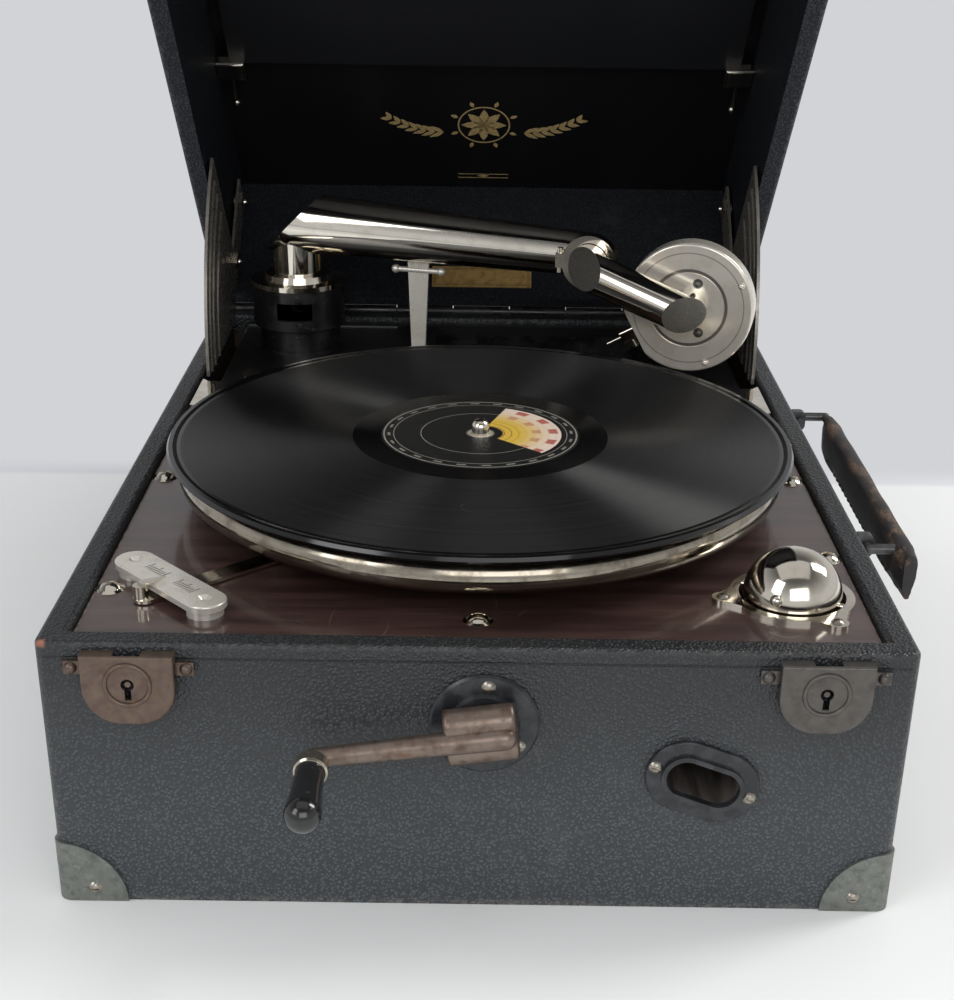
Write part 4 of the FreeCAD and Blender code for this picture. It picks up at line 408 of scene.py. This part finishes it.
# The face of the sound box has turned rings and three screws; the rings and the places round the screws
# are painted dark as painted shade in the grooves and screw holes
def make_box_nickel():
    finish = make_metal("box_nickel", (226, 220, 208), (178, 168, 148), 0.16, 10, 0.35, 0.15, 0.6)
    low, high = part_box("sound_box")
    middle = (low + high) / 2
    x, _, z = finish.xyz(finish.turned(finish.spot, tuple(middle), (0.0, 0.0, 1.0), -ARM_ANGLE))
    across, up = x - middle.x, z - middle.z
    radius = (across * across + up * up).root()
    # Painted shade in the turned grooves and round the screws
    painted_recess_shade = radius.near(BOX_GROOVE, 0.5 * MM, 0.5 * MM) * 0.75
    painted_recess_shade = painted_recess_shade.higher(radius.near(BOX_STEP, 0.15 * MM, 0.25 * MM) * 0.5)
    for turn in BOX_SCREW_TURNS:
        angle = math.radians(turn) - NECK_DROOP
        side = across - BOX_SCREWS * math.cos(angle)
        rise = up - BOX_SCREWS * math.sin(angle)
        painted_recess_shade = painted_recess_shade.higher((side * side + rise * rise).root().ramp(2.2 * MM, 2.6 * MM, 0.85, 0.0))
    colour = finish.fed("Base Color")
    finish.set(Base_Color=finish.mix(colour, paint(28, 27, 26), painted_recess_shade))
    return finish.material


# The left lock has gone bronze, the right one is still grey
def make_lock_metal():
    finish = make_metal("lock_metal", (112, 105, 98), (76, 62, 54), 0.36, 5, 0.75, 0.35, 0.75)
    bronze = finish.xyz()[0].ramp(-20 * MM, 20 * MM, 1.0, 0.0)
    stain = finish.cloud(4 * MM, 4.0, rough=0.65).ramp(0.4, 0.7)
    warm = finish.mix(paint(98, 78, 70), paint(126, 104, 78), stain * 0.6)
    cold = finish.mix(paint(82, 81, 80), paint(106, 104, 99), stain * 0.5)
    tint = finish.mix(cold, warm, bronze)
    colour = finish.fed("Base Color")
    finish.set(Base_Color=finish.mix(colour, tint, 0.65))
    return finish.material


def make_guard_metal():
    finish = make_metal("guard_metal", (122, 124, 118), (92, 100, 96), 0.42, 4, 0.8, 0.4, 0.65)
    powder = finish.cloud(2.2 * MM, 5.0, rough=0.7).ramp(0.5, 0.7)
    colour = finish.fed("Base Color")
    finish.set(Base_Color=finish.mix(colour, paint(142, 152, 146), powder * 0.55))
    return finish.material


def make_crank_metal():
    finish = make_metal("dark_nickel", (132, 118, 108), (92, 72, 60), 0.34, 5, 0.8, 0.4, 0.85)
    rust = finish.cloud(3 * MM, 5.0, (0.3, 1.0, 1.0), 0.7).ramp(0.55, 0.72)
    colour = finish.fed("Base Color")
    finish.set(Base_Color=finish.mix(colour, paint(112, 70, 48), rust * 0.55))
    return finish.material


def make_black_enamel():
    finish = Finish("black_enamel", Specular_IOR_Level=0.5)
    worn = finish.cloud(5 * MM, 5.0, rough=0.7).ramp(0.6, 0.72)
    grime = finish.cloud(12 * MM, 4.0).ramp(0.4, 0.7)
    colour = finish.mix(paint(20, 20, 21), paint(40, 39, 38), grime * 0.5)
    finish.set(Base_Color=finish.mix(colour, paint(120, 116, 108), worn * 0.45))
    finish.set(Roughness=0.22 + grime * 0.2, Metallic=worn * 0.6)
    finish.bump(finish.cloud(0.7 * MM, 2.0), 0.03 * MM, 0.15)
    return finish.material


# Dark pressed plate round the crank hole
def make_dark_plate():
    finish = Finish("dark_plate", Specular_IOR_Level=0.55)
    film = finish.cloud(6 * MM, 4.0).ramp(0.4, 0.7)
    rub = finish.cloud(1.6 * MM, 4.0, rough=0.7).ramp(0.62, 0.74)
    colour = finish.mix(paint(42, 44, 47), paint(62, 63, 66), film)
    finish.set(Base_Color=finish.mix(colour, paint(134, 130, 124), rub * 0.4))
    finish.set(Roughness=0.24 + film * 0.15, Metallic=0.35 + rub * 0.4)
    return finish.material


def make_brass():
    return make_metal("brass", (196, 158, 92), (132, 100, 58), 0.3, 5, 0.7, 0.4).material


# The plate inside the lid: bare brass with an engraved border
def make_brass_plate():
    finish = make_metal("brass_sheet", (196, 160, 98), (132, 102, 58), 0.34, 4, 0.7, 0.4, 0.3)
    closed = finish.turned(finish.spot, HINGE, (1.0, 0.0, 0.0), LID_OPEN)
    x, _, z = finish.xyz(closed)
    middle = PLATE_FOOT + PLATE_HALF_HEIGHT
    inset = (PLATE_HALF_WIDTH - abs(x)).lower(PLATE_HALF_HEIGHT - abs(z - middle))
    line = inset.near(1.3 * MM, 0.12 * MM, 0.12 * MM).higher(inset.near(2.2 * MM, 0.05 * MM, 0.1 * MM))
    colour = finish.fed("Base Color")
    finish.set(Base_Color=finish.mix(colour, paint(70, 52, 28), line * 0.8))
    return finish.material


def make_steel():
    return make_metal("steel", (168, 170, 172), (120, 116, 108), 0.3, 7, 0.6, 0.35).material


# Record, label and diaphragm

# Distance from the spindle's axis, and the two sides that it is worked out from
def radius_from_spindle(finish):
    x, y = finish.xyz()[:2]
    along = y - SPINDLE_Y
    return (x * x + along * along).root(), x, along


def make_shellac():
    finish = Finish("shellac", Specular_IOR_Level=0.65, Anisotropic=1.0, Anisotropic_Rotation=0.25)
    radius = radius_from_spindle(finish)[0]
    grooves = radius.ramp(GROOVES_FROM - MM, GROOVES_FROM)
    grooves = grooves * radius.ramp(GROOVES_TO, GROOVES_TO + MM, 1.0, 0.0)
    groove_waves = 9000
    groove = (radius * groove_waves).wave() * 0.5 + 0.5
    sockets = {"W": radius, "Scale": 420.0, "Detail": 4.0}
    bands = finish.node("TexNoise", {"noise_dimensions": "1D"}, sockets)
    dust = finish.cloud(1.2 * MM, 2.0).ramp(0.74, 0.8)
    hair = finish.cells(30 * MM, stretch=(0.4, 1.0, 1.0)).near(0.4, 0.001, 0.004)
    hair = hair * finish.cloud(35 * MM, 2.0).ramp(0.58, 0.7)
    colour = finish.mix(paint(7, 7, 8), paint(14, 14, 16), bands.ramp(0.3, 0.7) * grooves)
    colour = finish.mix(colour, paint(90, 90, 90), (dust * 0.25).higher(hair * 0.3))
    finish.set(Base_Color=colour, Roughness=0.16 + grooves * (0.2 + bands * 0.08))
    finish.bump(groove * grooves + bands * 0.5, 0.02 * MM, 0.25)
    return finish.material


# Black label with thin rings, a ring of dots and a fan of colour on one side
def make_label_paper():
    finish = Finish("label_paper", Specular_IOR_Level=0.4)
    radius, x, y = radius_from_spindle(finish)
    angle = y.angle_from(x)
    paper = finish.cloud(0.5 * MM, 3.0)
    colour = finish.mix(paint(18, 18, 19), paint(28, 27, 27), paper)
    fan_turn, fan_half = 0.25, 1.0
    fan_inner, fan_outer = 9.3 * MM, 32.6 * MM
    fan = abs(angle - fan_turn).ramp(fan_half - 0.02, fan_half, 1.0, 0.0)
    fan = fan * radius.ramp(fan_inner - 0.3 * MM, fan_inner)
    fan = fan * radius.ramp(fan_outer, fan_outer + 0.3 * MM, 1.0, 0.0)
    field = finish.mix(paint(206, 172, 66), paint(214, 196, 180), radius.ramp(15 * MM, 31 * MM))
    rays = (angle * 15).wave().ramp(0.1, 0.35) * radius.ramp(14 * MM, 30 * MM)
    rays = rays * (radius * 900).wave().ramp(-0.4, 0.2)
    field = finish.mix(field, paint(160, 62, 52), rays * 0.85)
    arcs = (radius * 2100).wave().ramp(0.75, 0.95)
    field = finish.mix(field, paint(120, 58, 66), arcs * radius.ramp(9 * MM, 20 * MM, 0.8, 0.1))
    colour = finish.mix(colour, field, fan)
    rings = radius.near(38.9 * MM, 0.25 * MM, 0.15 * MM)
    rings = rings.higher(radius.near(35 * MM, 0.1 * MM, 0.12 * MM))
    rings = rings.higher(radius.near(24 * MM, 0.1 * MM, 0.12 * MM) * (1 - fan))
    dots = (angle * 24).wave().ramp(0.2, 0.5) * radius.near(36.9 * MM, 0.45 * MM, 0.2 * MM)
    rings = rings.higher(dots * 0.8)
    colour = finish.mix(colour, paint(150, 146, 136), rings * 0.75)
    rubbed = radius.ramp(4.4 * MM, 6.2 * MM, 1.0, 0.0)
    colour = finish.mix(colour, paint(188, 180, 164), rubbed * paper.ramp(0.3, 0.5))
    finish.set(Base_Color=colour, Roughness=0.34 + paper * 0.2)
    finish.bump(paper, 0.03 * MM, 0.2)
    return finish.material


def make_felt():
    finish = Finish("felt", Sheen_Weight=0.5, Sheen_Roughness=0.5, Specular_IOR_Level=0.1)
    fibre = finish.cloud(0.5 * MM, 4.0, rough=0.7)
    colour = finish.mix(paint(72, 38, 44), paint(106, 60, 68), fibre.ramp(0.3, 0.7))
    finish.set(Base_Color=colour, Roughness=0.95)
    finish.bump(fibre, 0.3 * MM, 0.6)
    return finish.material


def make_diaphragm():
    return make_metal("diaphragm", (190, 188, 180), (150, 146, 136), 0.28, 8, 0.4, 0.1).material


# Wooden crank knob in black lacquer with its nickel ferrule
def make_knob():
    finish = Finish("knob_black", Specular_IOR_Level=0.5)
    y = finish.xyz()[1]
    ferrule = y.ramp(KNOB_START - FERRULE - 0.3 * MM, KNOB_START - FERRULE)
    scuff = finish.cloud(3 * MM, 4.0, rough=0.65).ramp(0.58, 0.74)
    lacquer = finish.mix(paint(24, 24, 25), paint(70, 66, 60), scuff * 0.4)
    finish.set(Base_Color=finish.mix(lacquer, paint(196, 188, 172), ferrule))
    finish.set(Metallic=ferrule * 0.98, Roughness=0.16 + scuff * 0.2, Coat_Weight=0.4 - ferrule * 0.4)
    finish.bump(finish.cloud(1.5 * MM, 2.0), 0.03 * MM, 0.1)
    return finish.material


# Grip of folded leather, black with brown where the surface has gone
def make_leather():
    finish = Finish("leather", Specular_IOR_Level=0.4)
    y, z = finish.xyz()[1:]
    torn_from, torn_to = -0.085, -0.118
    crease = finish.cells(5 * MM, 0.2, (1.0, 0.45, 1.0))
    hide = finish.cloud(1.1 * MM, 4.0, rough=0.65)
    bare = finish.cloud(9 * MM, 5.0, (1.0, 0.5, 1.0), 0.65).ramp(0.46, 0.6)
    ridge = z.ramp(GRIP_TOP - 5 * MM, GRIP_TOP - 1 * MM)
    end = y.ramp(torn_to, torn_from, 1.0, 0.0)
    bare = bare * (ridge * 0.8 + end).lower(1.0)
    colour = finish.mix(paint(34, 31, 33), paint(52, 48, 48), hide)
    brown = finish.mix(paint(84, 62, 50), paint(128, 108, 90), hide.ramp(0.35, 0.65))
    finish.set(Base_Color=finish.mix(colour, brown, bare * 0.85), Roughness=0.5 + bare * 0.3)
    finish.bump(crease * 0.7 + hide * 0.5 - bare * 0.4, 0.35 * MM, 0.5)
    return finish.material


def make_thread():
    finish = Finish("thread", Specular_IOR_Level=0.2)
    twist = finish.cloud(0.4 * MM, 2.0)
    finish.set(Base_Color=finish.mix(paint(58, 52, 46), paint(96, 88, 76), twist), Roughness=0.85)
    return finish.material


def make_slot_liner():
    finish = Finish("slot_liner", Specular_IOR_Level=0.35)
    streak = finish.cloud(3 * MM, 4.0, (1.0, 0.1, 1.0))
    colour = finish.mix(paint(50, 45, 43), paint(86, 79, 75), streak.ramp(0.3, 0.7))
    finish.set(Base_Color=colour, Roughness=0.5 + streak * 0.2)
    finish.bump(streak, 0.1 * MM, 0.3)
    return finish.material


def make_gold_paint():
    finish = Finish("gold_paint", Specular_IOR_Level=0.5)
    worn = finish.cloud(1.6 * MM, 4.0, rough=0.7)
    colour = finish.mix(paint(172, 146, 96), paint(204, 180, 128), worn.ramp(0.35, 0.6))
    colour = finish.mix(colour, paint(44, 40, 34), worn.ramp(0.6, 0.7) * 0.7)
    finish.set(Base_Color=colour, Roughness=0.42, Metallic=0.1)
    return finish.material


def make_mark_paint():
    finish = Finish("mark_paint", Specular_IOR_Level=0.3)
    worn = finish.cloud(0.8 * MM, 2.0)
    finish.set(Base_Color=finish.mix(paint(34, 32, 30), paint(64, 60, 54), worn), Roughness=0.6)
    return finish.material


# Mesh pieces

def add_piece(name, mesh, material, body):
    made = bpy.data.meshes.new(name)
    bmesh.ops.recalc_face_normals(mesh, faces=mesh.faces[:])
    mesh.to_mesh(made)
    mesh.free()
    piece = bpy.data.objects.new(name, made)
    bpy.context.scene.collection.objects.link(piece)
    made.materials.append(material)
    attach(piece, body)
    return piece


def smooth(piece, angle=40):
    piece.data.polygons.foreach_set("use_smooth", [True] * len(piece.data.polygons))
    piece.data.set_sharp_from_angle(angle=math.radians(angle))


# A closed tube of cross sections, each a list of points, with flat ends
def loft(sections):
    mesh = bmesh.new()
    rings = [[mesh.verts.new(point) for point in section] for section in sections]
    count = len(rings[0])
    for ring, following in zip(rings, rings[1:]):
        for index in range(count):
            after = (index + 1) % count
            mesh.faces.new((ring[index], ring[after], following[after], following[index]))
    mesh.faces.new(list(reversed(rings[0])))
    mesh.faces.new(rings[-1])
    return mesh


# Flat shapes of thin paint, each outline thickened to both sides and then put in its place
def leaf_shapes(outlines, thickness, place):
    mesh = bmesh.new()
    for outline in outlines:
        low = [mesh.verts.new(place @ Vector((x, y, -thickness))) for x, y in outline]
        high = [mesh.verts.new(place @ Vector((x, y, thickness))) for x, y in outline]
        mesh.faces.new(list(reversed(low)))
        mesh.faces.new(high)
        for index in range(len(outline)):
            after = (index + 1) % len(outline)
            mesh.faces.new((low[index], low[after], high[after], high[index]))
    return mesh


# Pointed leaf from a root along an angle
def leaf_outline(root, angle, length, width):
    profile = ((0.0, 0.1), (0.2, 0.7), (0.45, 1.0), (0.75, 0.62), (1.0, 0.0))
    upper = [(share * length, breadth * width / 2) for share, breadth in profile]
    lower = [(x, -y) for x, y in reversed(upper[:-1])]
    cos, sin = math.cos(angle), math.sin(angle)
    return [(root[0] + x * cos - y * sin, root[1] + x * sin + y * cos) for x, y in upper + lower]


# A flat ring as a row of small four-sided pieces
def ring_outlines(radius, width, pieces):
    step = 2 * math.pi / pieces
    outlines = []
    for index in range(pieces):
        first, last = index * step, (index + 1) * step
        spots = ((radius, first), (radius + width, first), (radius + width, last), (radius, last))
        outlines.append([(reach * math.cos(turn), reach * math.sin(turn)) for reach, turn in spots])
    return outlines


# A rosette of petals in a ring, with a small drop between each two petals outside it
def rosette_outlines():
    petals = 8
    step = 2 * math.pi / petals
    drop_root = 15.2 * MM
    outlines = ring_outlines(13.4 * MM, 0.8 * MM, 60)
    for petal in range(petals):
        outlines.append(leaf_outline((0.0, 0.0), petal * step, 12.2 * MM, 5.6 * MM))
    for petal in range(petals):
        turn = (petal + 0.5) * step
        root = (drop_root * math.cos(turn), drop_root * math.sin(turn))
        outlines.append(leaf_outline(root, turn, 4.2 * MM, 2.4 * MM))
    return outlines


# Two sprays of paired leaves that rise to the left and the right
def spray_outlines():
    leaf_pairs = 7
    outlines = []
    for side in (-1, 1):
        for pair in range(leaf_pairs):
            share = pair / (leaf_pairs - 1)
            root = (side * (22 + 28 * share) * MM, (-6 + 10 * share * share) * MM)
            lean = 0.55 * share
            length = (8.6 - 2.6 * share) * MM
            for spread in (0.55, -0.5):
                turn = lean + spread
                angle = turn if side > 0 else math.pi - turn
                outlines.append(leaf_outline(root, angle, length, 2.8 * MM))
    return outlines


# Two thin lines with a diamond between them
def rule_outlines():
    half = 14 * MM
    line = 0.35 * MM
    outlines = []
    for level in (-40.5 * MM, -43.5 * MM):
        outlines.append([(-half, level), (half, level), (half, level + line), (-half, level + line)])
    diamond = ((-3.2, -41.8), (0.0, -43.0), (3.2, -41.8), (0.0, -40.6))
    outlines.append([(x * MM, y * MM) for x, y in diamond])
    return outlines


# Ornament in gold paint on the lid's lining
def make_lid_ornament(material):
    ornament_y = HINGE[1] - 64 * MM
    outlines = rosette_outlines() + spray_outlines() + rule_outlines()
    middle = Matrix.Translation((0.0, ornament_y, LID_CEILING - 0.04 * MM))
    place = open_lid() @ middle @ Matrix.Rotation(math.pi, 4, "X")
    mesh = leaf_shapes(outlines, 0.06 * MM, place)
    return add_piece("lid_ornament", mesh, material, "lid")


# Brings what is laid out on the shut lid to the open one
def open_lid():
    turn = Matrix.Rotation(-LID_OPEN, 4, "X")
    return Matrix.Translation(HINGE) @ turn @ Matrix.Translation(-Vector(HINGE))


# Graduation lines on the speed scale
def make_scale_marks(material):
    lines = 9
    pitch = 1.25 * MM
    width = 0.3 * MM
    foot = -1.6 * MM
    outlines = []
    for start in (-13.5 * MM, 4.5 * MM):
        for index in range(lines):
            x = start + index * pitch
            top = foot + (4.6 * MM if index % 4 == 0 else 3.1 * MM)
            outlines.append([(x, foot), (x + width, foot), (x + width, top), (x, top)])
    turn = Matrix.Rotation(SCALE_TURN, 4, "Z")
    place = Matrix.Translation((*SCALE_SPOT, SCALE_TOP)) @ turn
    mesh = leaf_shapes(outlines, 0.05 * MM, place)
    return add_piece("speed_marks", mesh, material, "case")


# Felt on the turntable, with a slightly uneven cut edge
def make_felt_disc(material):
    low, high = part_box("turntable_felt")
    count = 180
    fray_reach = 0.25 * MM
    fray_scale = 9
    insets = ((0.0, 0.7 * MM), (0.35, 0.2 * MM), (0.75, 0.3 * MM), (1.0, 1.0 * MM))
    edge = [(share, FELT_RADIUS - inset) for share, inset in insets]
    levels = [(0.0, FELT_BORE)] + edge + [(1.0, FELT_BORE)]
    mesh = bmesh.new()
    rows = []
    for share, radius in levels:
        row = []
        for index in range(count):
            turn = 2 * math.pi * index / count
            spot = Vector((math.cos(turn) * fray_scale, math.sin(turn) * fray_scale, share))
            fray = fray_reach * noise.noise(spot)
            reach = radius + (fray if radius > FELT_BORE else 0.0)
            x, y = reach * math.cos(turn), SPINDLE_Y + reach * math.sin(turn)
            row.append(mesh.verts.new((x, y, low.z + share * (high.z - low.z))))
        rows.append(row)
    for row, following in zip(rows, rows[1:] + rows[:1]):
        for index in range(count):
            after = (index + 1) % count
            mesh.faces.new((row[index], row[after], following[after], following[index]))
    felt = add_piece("felt_disc", mesh, material, "turntable")
    smooth(felt)
    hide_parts("turntable_felt")
    return felt


# Folded leather grip: a soft loft that is rounder over the wire and pinched along its lower seam
def make_grip(material):
    low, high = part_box("handle_grip")
    middle = (low.x + high.x) / 2
    half = (high.x - low.x) / 2
    steps = 60
    points = 28
    end_width = 0.62
    widening = 5.5
    torn_share = 0.16
    seam_width = 0.56
    top_bulge = 0.4
    sections = []
    for step in range(steps + 1):
        share = step / steps
        y = low.y + share * (high.y - low.y)
        end = min(1.0, end_width + widening * min(share, 1 - share))
        torn = max(0.0, 1 - share / torn_share)
        section = []
        for index in range(points):
            turn = 2 * math.pi * index / points
            across = math.copysign(abs(math.cos(turn)) ** 0.75, math.cos(turn))
            up = math.copysign(abs(math.sin(turn)) ** 0.7, math.sin(turn))
            level = (up + 1) / 2
            width = half * (seam_width + top_bulge * level ** 0.8) * end
            wobble = 0.9 * noise.noise(Vector((across * 1.4, y * 42, up * 1.4)))
            wobble += torn * 0.8 * noise.noise(Vector((across * 4, y * 160, up * 4)))
            x = middle + (across * width + wobble * MM * 0.8)
            drop = 1.6 * MM * torn + 0.5 * MM * (1 + noise.noise(Vector((0.3, y * 30, 5.0))))
            z = low.z + drop + level * (high.z - low.z - drop - 0.8 * MM * (1 - end))
            section.append((min(max(x, low.x), high.x), y, min(z, high.z)))
        sections.append(section)
    grip = add_piece("leather_grip", loft(sections), material, "handle")
    smooth(grip, 60)
    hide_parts("handle_grip")
    return grip


# Stitches along both faces of the grip's seam
def make_grip_stitches(material):
    low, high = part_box("handle_grip")
    middle = (low.x + high.x) / 2
    half = (high.x - low.x) / 2
    mesh = bmesh.new()
    first = 22 * MM
    unsewn = 30 * MM
    pitch = 6 * MM
    level = low.z + 4.2 * MM
    stitch = Matrix.Diagonal((0.4 * MM, 2.1 * MM, 0.45 * MM, 1.0))
    count = int((high.y - low.y - unsewn) / pitch)
    for side in (-1, 1):
        x = middle + side * half * 0.66
        for index in range(count):
            place = Matrix.Translation((x, low.y + first + index * pitch, level)) @ stitch
            bmesh.ops.create_icosphere(mesh, subdivisions=2, radius=1.0, matrix=place)
    stitches = add_piece("grip_stitches", mesh, material, "handle")
    smooth(stitches)
    return stitches


# Stage

ROOM_LIGHT = 0.74
WALLS_SEEN = 0.62
CEILING_SEEN = 0.12
CEILING_FROM = 0.25
CEILING_TO = 0.8
FLOOR_RADIUS = 9.0
BACK_LINE = 0.208


# Pale floor with painted shade that makes it a little darker away from the object, against the front
# lamp's pool of light, with a backdrop's tone behind it
def make_floor():
    finish = Finish("floor", Specular_IOR_Level=0.2, Roughness=0.55)
    x, y = finish.xyz()[:2]
    far = y.ramp(BACK_LINE, BACK_LINE + 8 * MM)
    shade = finish.cloud(0.6, 2.0)
    near_tone = finish.mix(paint(231, 232, 231), paint(224, 225, 224), shade)
    # Painted shade: the floor darkens away from the object, where the front lamp lights it most
    painted_floor_shade = (x * x + y * y).root().ramp(0.4, 0.9)
    near_tone = finish.mix(near_tone, paint(198, 199, 199), painted_floor_shade)
    finish.set(Base_Color=finish.mix(near_tone, paint(212, 213, 217), far))
    add_backdrop(finish, y.ramp(BACK_LINE + MM, BACK_LINE + 32 * MM))
    mesh = bmesh.new()
    bmesh.ops.create_circle(mesh, cap_ends=True, segments=96, radius=FLOOR_RADIUS)
    made = bpy.data.meshes.new("floor")
    mesh.to_mesh(made)
    mesh.free()
    floor = bpy.data.objects.new("floor", made)
    floor.location = (0.0, 0.0, -0.2 * MM)
    bpy.context.scene.collection.objects.link(floor)
    made.materials.append(finish.material)


# Far away the floor is seen as an even pale backdrop, which gives no light
def add_backdrop(finish, far):
    tree = finish.tree
    glow = tree.nodes.new("ShaderNodeEmission")
    glow.inputs["Color"].default_value = paint(210, 211, 214)
    both = tree.nodes.new("ShaderNodeMixShader")
    seen = finish.node("LightPath", out="Is Camera Ray")
    finish.feed(both.inputs[0], seen * far)
    tree.links.new(finish.shader.outputs[0], both.inputs[1])
    tree.links.new(glow.outputs[0], both.inputs[2])
    tree.links.new(both.outputs[0], tree.nodes["Material Output"].inputs["Surface"])


def make_lamp(name, spot, target, width, height, power, colour=(1.0, 1.0, 1.0)):
    lamp = bpy.data.lights.new(name, "AREA")
    lamp.shape = "RECTANGLE"
    lamp.size = width
    lamp.size_y = height
    lamp.energy = power
    lamp.color = colour
    holder = bpy.data.objects.new(name, lamp)
    holder.location = spot
    look = Vector(target) - Vector(spot)
    holder.rotation_euler = look.to_track_quat("-Z", "Y").to_euler()
    bpy.context.scene.collection.objects.link(holder)


# A white room: shiny surfaces see its walls, and still more its ceiling, dimmer than the light they give
def make_world():
    world = bpy.data.worlds.new("studio")
    bpy.context.scene.world = world
    world.use_nodes = True
    tree = world.node_tree
    links = tree.links

    def backdrop(strength):
        made = tree.nodes.new("ShaderNodeBackground")
        made.inputs["Color"].default_value = (0.97, 0.98, 1.0, 1.0)
        made.inputs["Strength"].default_value = strength
        return made.outputs[0]

    def blend(factor, first, second):
        both = tree.nodes.new("ShaderNodeMixShader")
        for socket, source in zip(both.inputs, (factor, first, second)):
            links.new(source, socket)
        return both.outputs[0]

    direction = tree.nodes.new("ShaderNodeSeparateXYZ")
    links.new(tree.nodes.new("ShaderNodeTexCoord").outputs["Generated"], direction.inputs[0])
    upward = tree.nodes.new("ShaderNodeMapRange")
    links.new(direction.outputs["Z"], upward.inputs["Value"])
    upward.inputs["From Min"].default_value = CEILING_FROM
    upward.inputs["From Max"].default_value = CEILING_TO
    seen = blend(upward.outputs[0], backdrop(WALLS_SEEN), backdrop(CEILING_SEEN))
    glossy = tree.nodes.new("ShaderNodeLightPath").outputs["Is Glossy Ray"]
    links.new(blend(glossy, backdrop(ROOM_LIGHT), seen), tree.nodes["World Output"].inputs["Surface"])


def make_camera():
    camera = bpy.data.cameras.new("camera")
    camera.lens = 57.44
    camera.sensor_width = 36.0
    camera.shift_y = 0.1
    camera.clip_start = 0.01
    camera.clip_end = 50.0
    holder = bpy.data.objects.new("camera", camera)
    spot = (-0.0013, -0.6666, 0.3413)
    pitch, yaw, roll = 0.4463, 0.0016, 0.0151
    turn = Matrix.Rotation(-yaw, 4, "Z") @ Matrix.Rotation(math.pi / 2 - pitch, 4, "X")
    turn = turn @ Matrix.Rotation(roll, 4, "Z")
    holder.matrix_world = Matrix.Translation(spot) @ turn
    bpy.context.scene.collection.objects.link(holder)
    bpy.context.scene.camera = holder


# Finishes of the solids

ARM_TURN = Matrix.Rotation(ARM_ANGLE, 3, "Z")
NECK_TURN = ARM_TURN @ Matrix.Rotation(NECK_DROOP, 3, "Y")


def dress_solids():
    tube_flats = [ARM_TURN @ Vector((1, 1, 0))]
    neck_flats = [NECK_TURN @ Vector((-1, -1, 0)), NECK_TURN @ Vector((1, -1, 0))]
    finishes = (
        (make_case_cloth(), ["case_walls"]),
        (make_lid_cloth(), ["lid_shell"]),
        (make_lining("lid_lining_cloth", (15, 15, 18), 0.38), ["lid_lining"]),
        (make_lining("tray_cloth", (24, 25, 28), 0.34), ["record_tray"]),
        (make_deck_wood(), ["motor_board"]),
        (make_bare_wood(), ["case_floor", "deck_cleats"]),
        (make_nickel(), ["deck_screws", "needle_ring", "needle_cup", "needle_cover", "speed_lever",
                         "arm_flange", "arm_clamp", "needle_holder", "spindle",
                         "stay_guides", "stay_bolts", "tray_catches", "lid_hasps"]),
        (make_tube_nickel(tube_flats), ["arm_tube"]),
        (make_arm_nickel("neck_nickel", neck_flats).material, ["arm_neck"]),
        (make_satin_nickel(), ["speed_scale", "arm_rest"]),
        (make_box_nickel(), ["sound_box"]),
        (make_dark_wire(), ["handle_bail", "handle_brackets"]),
        (make_rim_nickel(), ["platter"]),
        (make_stay_metal(), ["lid_stays"]),
        (make_screw_metal(), ["case_screws"]),
        (make_crank_metal(), ["crank_arm", "crank_shaft"]),
        (make_knob(), ["crank_knob"]),
        (make_lock_metal(), ["lock_plates", "lock_bolt_left", "lock_bolt_right"]),
        (make_guard_metal(), ["corner_guards"]),
        (make_dark_plate(), ["crank_escutcheon", "stow_bezel"]),
        (make_slot_liner(), ["stow_tube"]),
        (make_black_enamel(), ["arm_drum", "horn", "hinge_leaf_base", "hinge_leaf_lid"]),
        (make_brass_plate(), ["brass_plate"]),
        (make_shellac(), ["record"]),
        (make_label_paper(), ["record_label"]),
        (make_diaphragm(), ["diaphragm"]),
        (make_brass(), ["motor_top_plate", "motor_bottom_plate", "worm_wheel", "intermediate_wheel",
                        "spring_barrel", "governor_weights"]),
        (make_steel(), ["motor_pillars", "mainspring", "winding_arbor", "governor_shaft"]),
    )
    for material, names in finishes:
        for name in names:
            mesh = nodes[name].data
            mesh.materials.clear()
            mesh.materials.append(material)


make_camera()
dress_solids()
make_lid_ornament(make_gold_paint())
make_scale_marks(make_mark_paint())
make_felt_disc(make_felt())
make_grip(make_leather())
make_grip_stitches(make_thread())
make_floor()
make_world()
make_lamp("overhead", (0.0, -0.2, 1.9), (0.0, 0.0, 0.1), 2.2, 1.6, 5.0)
make_lamp("front", (0.3, -2.0, 1.0), (0.0, 0.0, 0.1), 1.6, 1.0, 11.0)
make_lamp("window_left", (-1.3, -1.2, 1.25), (0.0, 0.0, 0.1), 0.8, 1.1, 9.0, (0.97, 0.98, 1.0))
make_lamp("window_right", (1.43, 0.37, 1.32), (0.0, -0.1, 0.1), 0.5, 0.9, 16.0, (1.0, 0.99, 0.96))
bpy.context.scene.view_settings.view_transform = "Standard"
